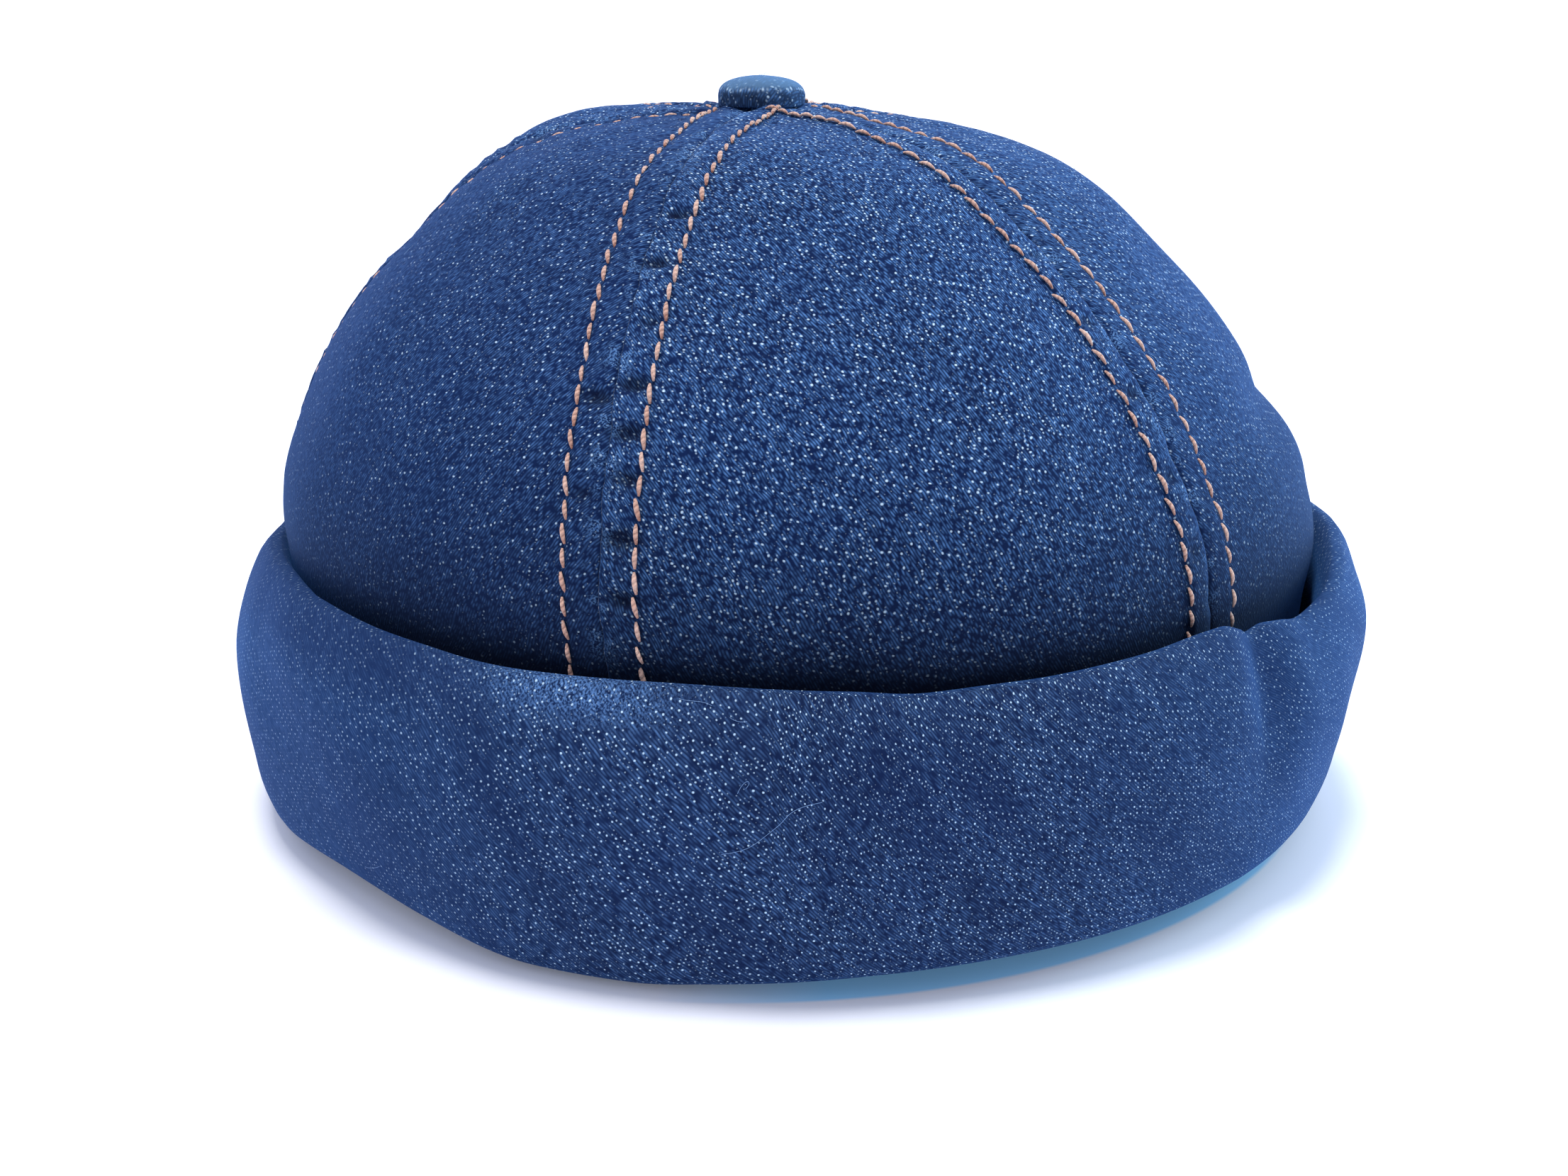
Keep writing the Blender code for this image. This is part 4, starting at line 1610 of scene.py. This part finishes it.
@dataclass
class Lint:
    """Loose pale fibres: those that the photo shows, and a few more all round the crown."""

    form: HatForm
    finish: bpy.types.Material
    thickness: float = 0.000032
    strays: int = 26
    step: float = 0.0007
    clear: float = 1.0012

    # Paths of the tuft in metres, from the middle of the button's top
    tufts: tuple = (
        ((-0.0006, -0.0016, -0.0003), (0.0, -0.001, 0.0), (0.0010, 0.0, 0.0005)),
        ((-0.0002, -0.0016, -0.0003), (0.0002, -0.001, 0.0001), (0.0014, 0.0, 0.0003)),
        ((-0.0024, -0.003, -0.0005), (-0.001, -0.002, -0.0001), (0.0001, -0.001, 0.0002)),
    )
    # Paths of the fibres in millimetres of the frame
    paths: tuple = (
        ((-11.7, -103.4, 26.1), (-8.5, -103.8, 26.7), (-6.7, -104.1, 28.0), (-4.4, -104.2, 30.2),
         (-2.6, -104.2, 31.5), (-2.2, -104.1, 32.7), (-0.2, -104.0, 33.9), (2.8, -103.8, 34.4)),
        ((-9.3, -103.5, 35.6), (-8.7, -103.3, 37.1), (-7.7, -103.2, 38.1), (-7.1, -103.4, 37.4),
         (-8.1, -103.5, 36.4)),
        ((35.5, -62.9, 94.9), (36.9, -61.6, 95.1), (38.3, -61.3, 94.4), (38.7, -62.0, 93.5),
         (37.4, -63.4, 93.0), (36.1, -63.7, 93.8)),
        ((55.9, -50.6, 89.3), (57.2, -49.9, 88.6), (57.9, -50.2, 87.6), (56.7, -51.9, 87.3)),
        ((10.7, -99.4, 5.5), (11.6, -97.9, 4.0), (12.9, -98.3, 4.5)),
        ((-70.7, -69.7, 8.7), (-69.3, -71.2, 8.8), (-67.4, -74.2, 10.8)),
        ((-17.8, -97.4, 47.9), (-16.0, -98.2, 47.4), (-14.5, -97.9, 48.1), (-13.0, -98.9, 47.3)),
        ((-10.4, -100.2, 46.0), (-9.2, -100.8, 45.2), (-7.9, -100.8, 45.6)),
        ((41.1, -81.4, 66.7), (41.6, -81.2, 66.4), (42.2, -81.1, 65.9)),
    )

    def fibre(self, points: list[Spot]) -> bpy.types.Object:
        """Bend one fibre along its points in the frame, as a mesh."""
        deselect_all()
        bpy.ops.curve.primitive_nurbs_path_add(radius=1.0, location=(0, 0, 0))
        curve = bpy.context.object
        spline = curve.data.splines[0]
        spline.points.add(max(0, len(points) - len(spline.points)))
        for number, point in enumerate(spline.points):
            point.co = (*points[min(number, len(points) - 1)], 1.0)
        spline.use_endpoint_u = True
        spline.resolution_u = 4
        curve.data.bevel_depth = self.thickness
        curve.data.bevel_resolution = 0
        bpy.ops.object.convert(target="MESH")
        return bpy.context.object

    def tuft(self) -> list[list[Spot]]:
        """Paths of the fibres that stand up from the button."""
        low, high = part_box("button")
        x, y, z = (low[0] + high[0]) / 2, (low[1] + high[1]) / 2, high[2]
        return [[(x + a, y + b, z + c) for a, b, c in path] for path in self.tufts]

    def scattered(self) -> list[list[Spot]]:
        """Paths of short fibres all round the crown."""
        rng = np.random.default_rng(11)
        found = []
        for _ in range(self.strays):
            azimuth, run = rng.uniform(-180.0, 180.0), rng.uniform(0.075, 0.150)
            heading, bend = rng.uniform(0, WHOLE_TURN), rng.normal(0, 1.2)
            path = []
            for number in range(5):
                lift = 0.0001 + 0.00007 * number
                point = self.form.crown_point(np.array([azimuth]), np.array([run]), lift)
                path.append(tuple(float(value) for value in point[0]))
                azimuth += math.degrees(self.step * math.sin(heading) / 0.09)
                run += self.step * math.cos(heading)
                heading += bend * 0.5
            found.append(path)
        return found

    def build(self) -> bpy.types.Object:
        """Lay every fibre and join them.

        Returns:
            The new piece.
        """
        laid = [[tuple(value * self.clear / MM for value in point) for point in path]
                for path in self.paths]
        fibres = [self.fibre(path) for path in laid + self.tuft() + self.scattered()]
        deselect_all()
        for fibre in fibres:
            fibre.select_set(True)
        bpy.context.view_layer.objects.active = fibres[0]
        bpy.ops.object.join()
        piece = bpy.context.object
        piece.name = "lint"
        piece.data.materials.clear()
        piece.data.materials.append(self.finish)
        piece.data.polygons.foreach_set("material_index", [0] * len(piece.data.polygons))
        piece.data.shade_smooth()
        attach(piece, "root")
        log.info("%s: %d fibres", piece.name, len(fibres))
        return piece


@dataclass
class Studio:
    """Pale table, white surroundings, a soft key overhead, a blue side light and the camera."""

    eye: Spot = (-0.00264, -0.37792, 0.15037)
    aim: Spot = (-0.00264, 0.0, 0.034755)
    lens: float = 47.456
    sensor: float = 36.0
    key_power: float = 2.2
    key_angle: float = 16.0
    key_tint: Colour = (1.0, 0.96, 0.88)
    key_place: Spot = (0.0, 0.0, 1.0)
    key_aim: Spot = (0.094, 0.03, -1.0)
    side_power: float = 6.4
    side_size: float = 0.50
    side_tint: Colour = (0.55, 0.88, 1.0)
    side_place: Spot = (0.85, 0.30, 0.35)
    side_aim: Spot = (0.0, 0.0, 0.05)
    world: float = 1.05
    world_tint: Colour = (1.0, 1.05, 1.23)
    table_size: float = 6.0
    table_drop: float = 0.0002

    def table(self) -> None:
        """Lay the pale table."""
        deselect_all()
        place = (0, 0, -self.table_drop)
        bpy.ops.mesh.primitive_plane_add(size=self.table_size, location=place)
        table = bpy.context.object
        table.name = "table"
        table.data.materials.append(TableTop().material())

    def lamp(self, name: str, kind: str, power: float, tint: Colour) -> bpy.types.Object:
        """Hang one light of a kind, with its power and its tint."""
        lamp = bpy.data.lights.new(name, kind)
        lamp.energy, lamp.color = power, tint
        return hang(name, lamp)

    def lights(self) -> None:
        """Hang the wide soft key light, nearly overhead, and the square one at the side."""
        key = self.lamp("key", "SUN", self.key_power, self.key_tint)
        key.data.angle = math.radians(self.key_angle)
        key.location = self.key_place
        key.rotation_euler = facing(Vector(self.key_aim))
        side = self.lamp("side", "AREA", self.side_power, self.side_tint)
        side.data.shape, side.data.size = "SQUARE", self.side_size
        side.location = self.side_place
        side.rotation_euler = facing(Vector(self.side_aim) - Vector(self.side_place))

    def surroundings(self) -> bpy.types.World:
        """White surroundings that are darker on the camera's side."""
        world = bpy.data.worlds.new("surroundings")
        bench = Bench(world, "Background")
        direction = bench.node("ShaderNodeTexCoord", {}, {}).outputs["Generated"]
        along = bench.node("ShaderNodeSeparateXYZ", {}, {0: direction}).outputs[1]
        ahead = (Value(bench, along) * 0.9 + 0.75).kept()
        bench.feed(bench.shader.inputs["Strength"], (0.45 + 0.55 * ahead) * self.world)
        bench.shader.inputs["Color"].default_value = (*self.world_tint, 1.0)
        return world

    def camera(self) -> None:
        """Set the camera up at the photograph's angle."""
        data = bpy.data.cameras.new("camera")
        data.sensor_width, data.lens, data.clip_start = self.sensor, self.lens, 0.01
        holder = hang("camera", data)
        holder.location = self.eye
        holder.rotation_euler = facing(Vector(self.aim) - Vector(self.eye))
        bpy.context.scene.camera = holder

    def build(self) -> None:
        """Set the table, the lights, the surroundings and the camera."""
        scene = bpy.context.scene
        scene.world = self.surroundings()
        scene.view_settings.view_transform = "Standard"
        self.table()
        self.lights()
        self.camera()
        log.info("studio: lens %.1f mm", self.lens)


def denims() -> dict[str, bpy.types.Material]:
    """Make the denim of every part of the hat, by the part's name."""
    crown = {"seams": True, "shaded": ((55.5, 8.5, 0.78), (98.0, 50.0, 0.84))}
    cloths = {
        "crown": Denim("denim_crown_face", **crown),
        # The left gore: twill cut the other way round, with darker floats and ground and fewer
        # flecks as painted shade of that side
        "left": Denim(
            "denim_crown_left", **crown, hand=-1.0, bare=0.40, chain=1.3, fleck_size=0.155,
            light=(74, 114, 170), rubbed=(15, 42, 86)),
        "cuff": Denim(
            "denim_cuff_face", across_step=(1.34, -0.27), up_step=(-1.61, 1.55), bare=0.20,
            chain=1.6, fleck_size=0.150, jitter=0.20, drift=0.15, float_lean=46.0,
            float_pitch=0.50, float_length=1.4, float_share=0.36, float_change=0.26,
            float_light=0.76, float_wander=0.2, edge=0.62, dark=(7, 21, 52),
            middle=(17, 39, 81), light=(82, 120, 173), rubbed=(31, 64, 112),
            pale=(198, 229, 255)),
        "button": Denim("denim_button_face", rim=True),
        "reverse": Denim(
            "denim_reverse", dark=(70, 84, 112), middle=(96, 110, 138),
            light=(150, 162, 184), pale=(214, 218, 226)),
    }
    return {name: cloth.material() for name, cloth in cloths.items()}


def main() -> None:
    """Build every piece in order."""
    logging.basicConfig(level=logging.INFO, format="%(message)s")
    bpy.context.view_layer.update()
    form = HatForm()
    denim = denims()
    thread = Thread().material()
    Studio().build()
    Cuff(form, denim["cuff"], denim["reverse"]).build()
    for number in range(1, len(form.seams) + 1):
        face = denim["left" if number == LEFT_GORE else "crown"]
        CrownPanel(form, number, face, denim["reverse"]).build()
        lift = PROUD_LIFT if number in PROUD_SEAMS else SUNK_LIFT
        TopStitching(form, number, thread, lift).build()
    Button(form, denim["button"]).build()
    Lint(form, Fibre().material()).build()


if __name__ == "__main__":
    main()
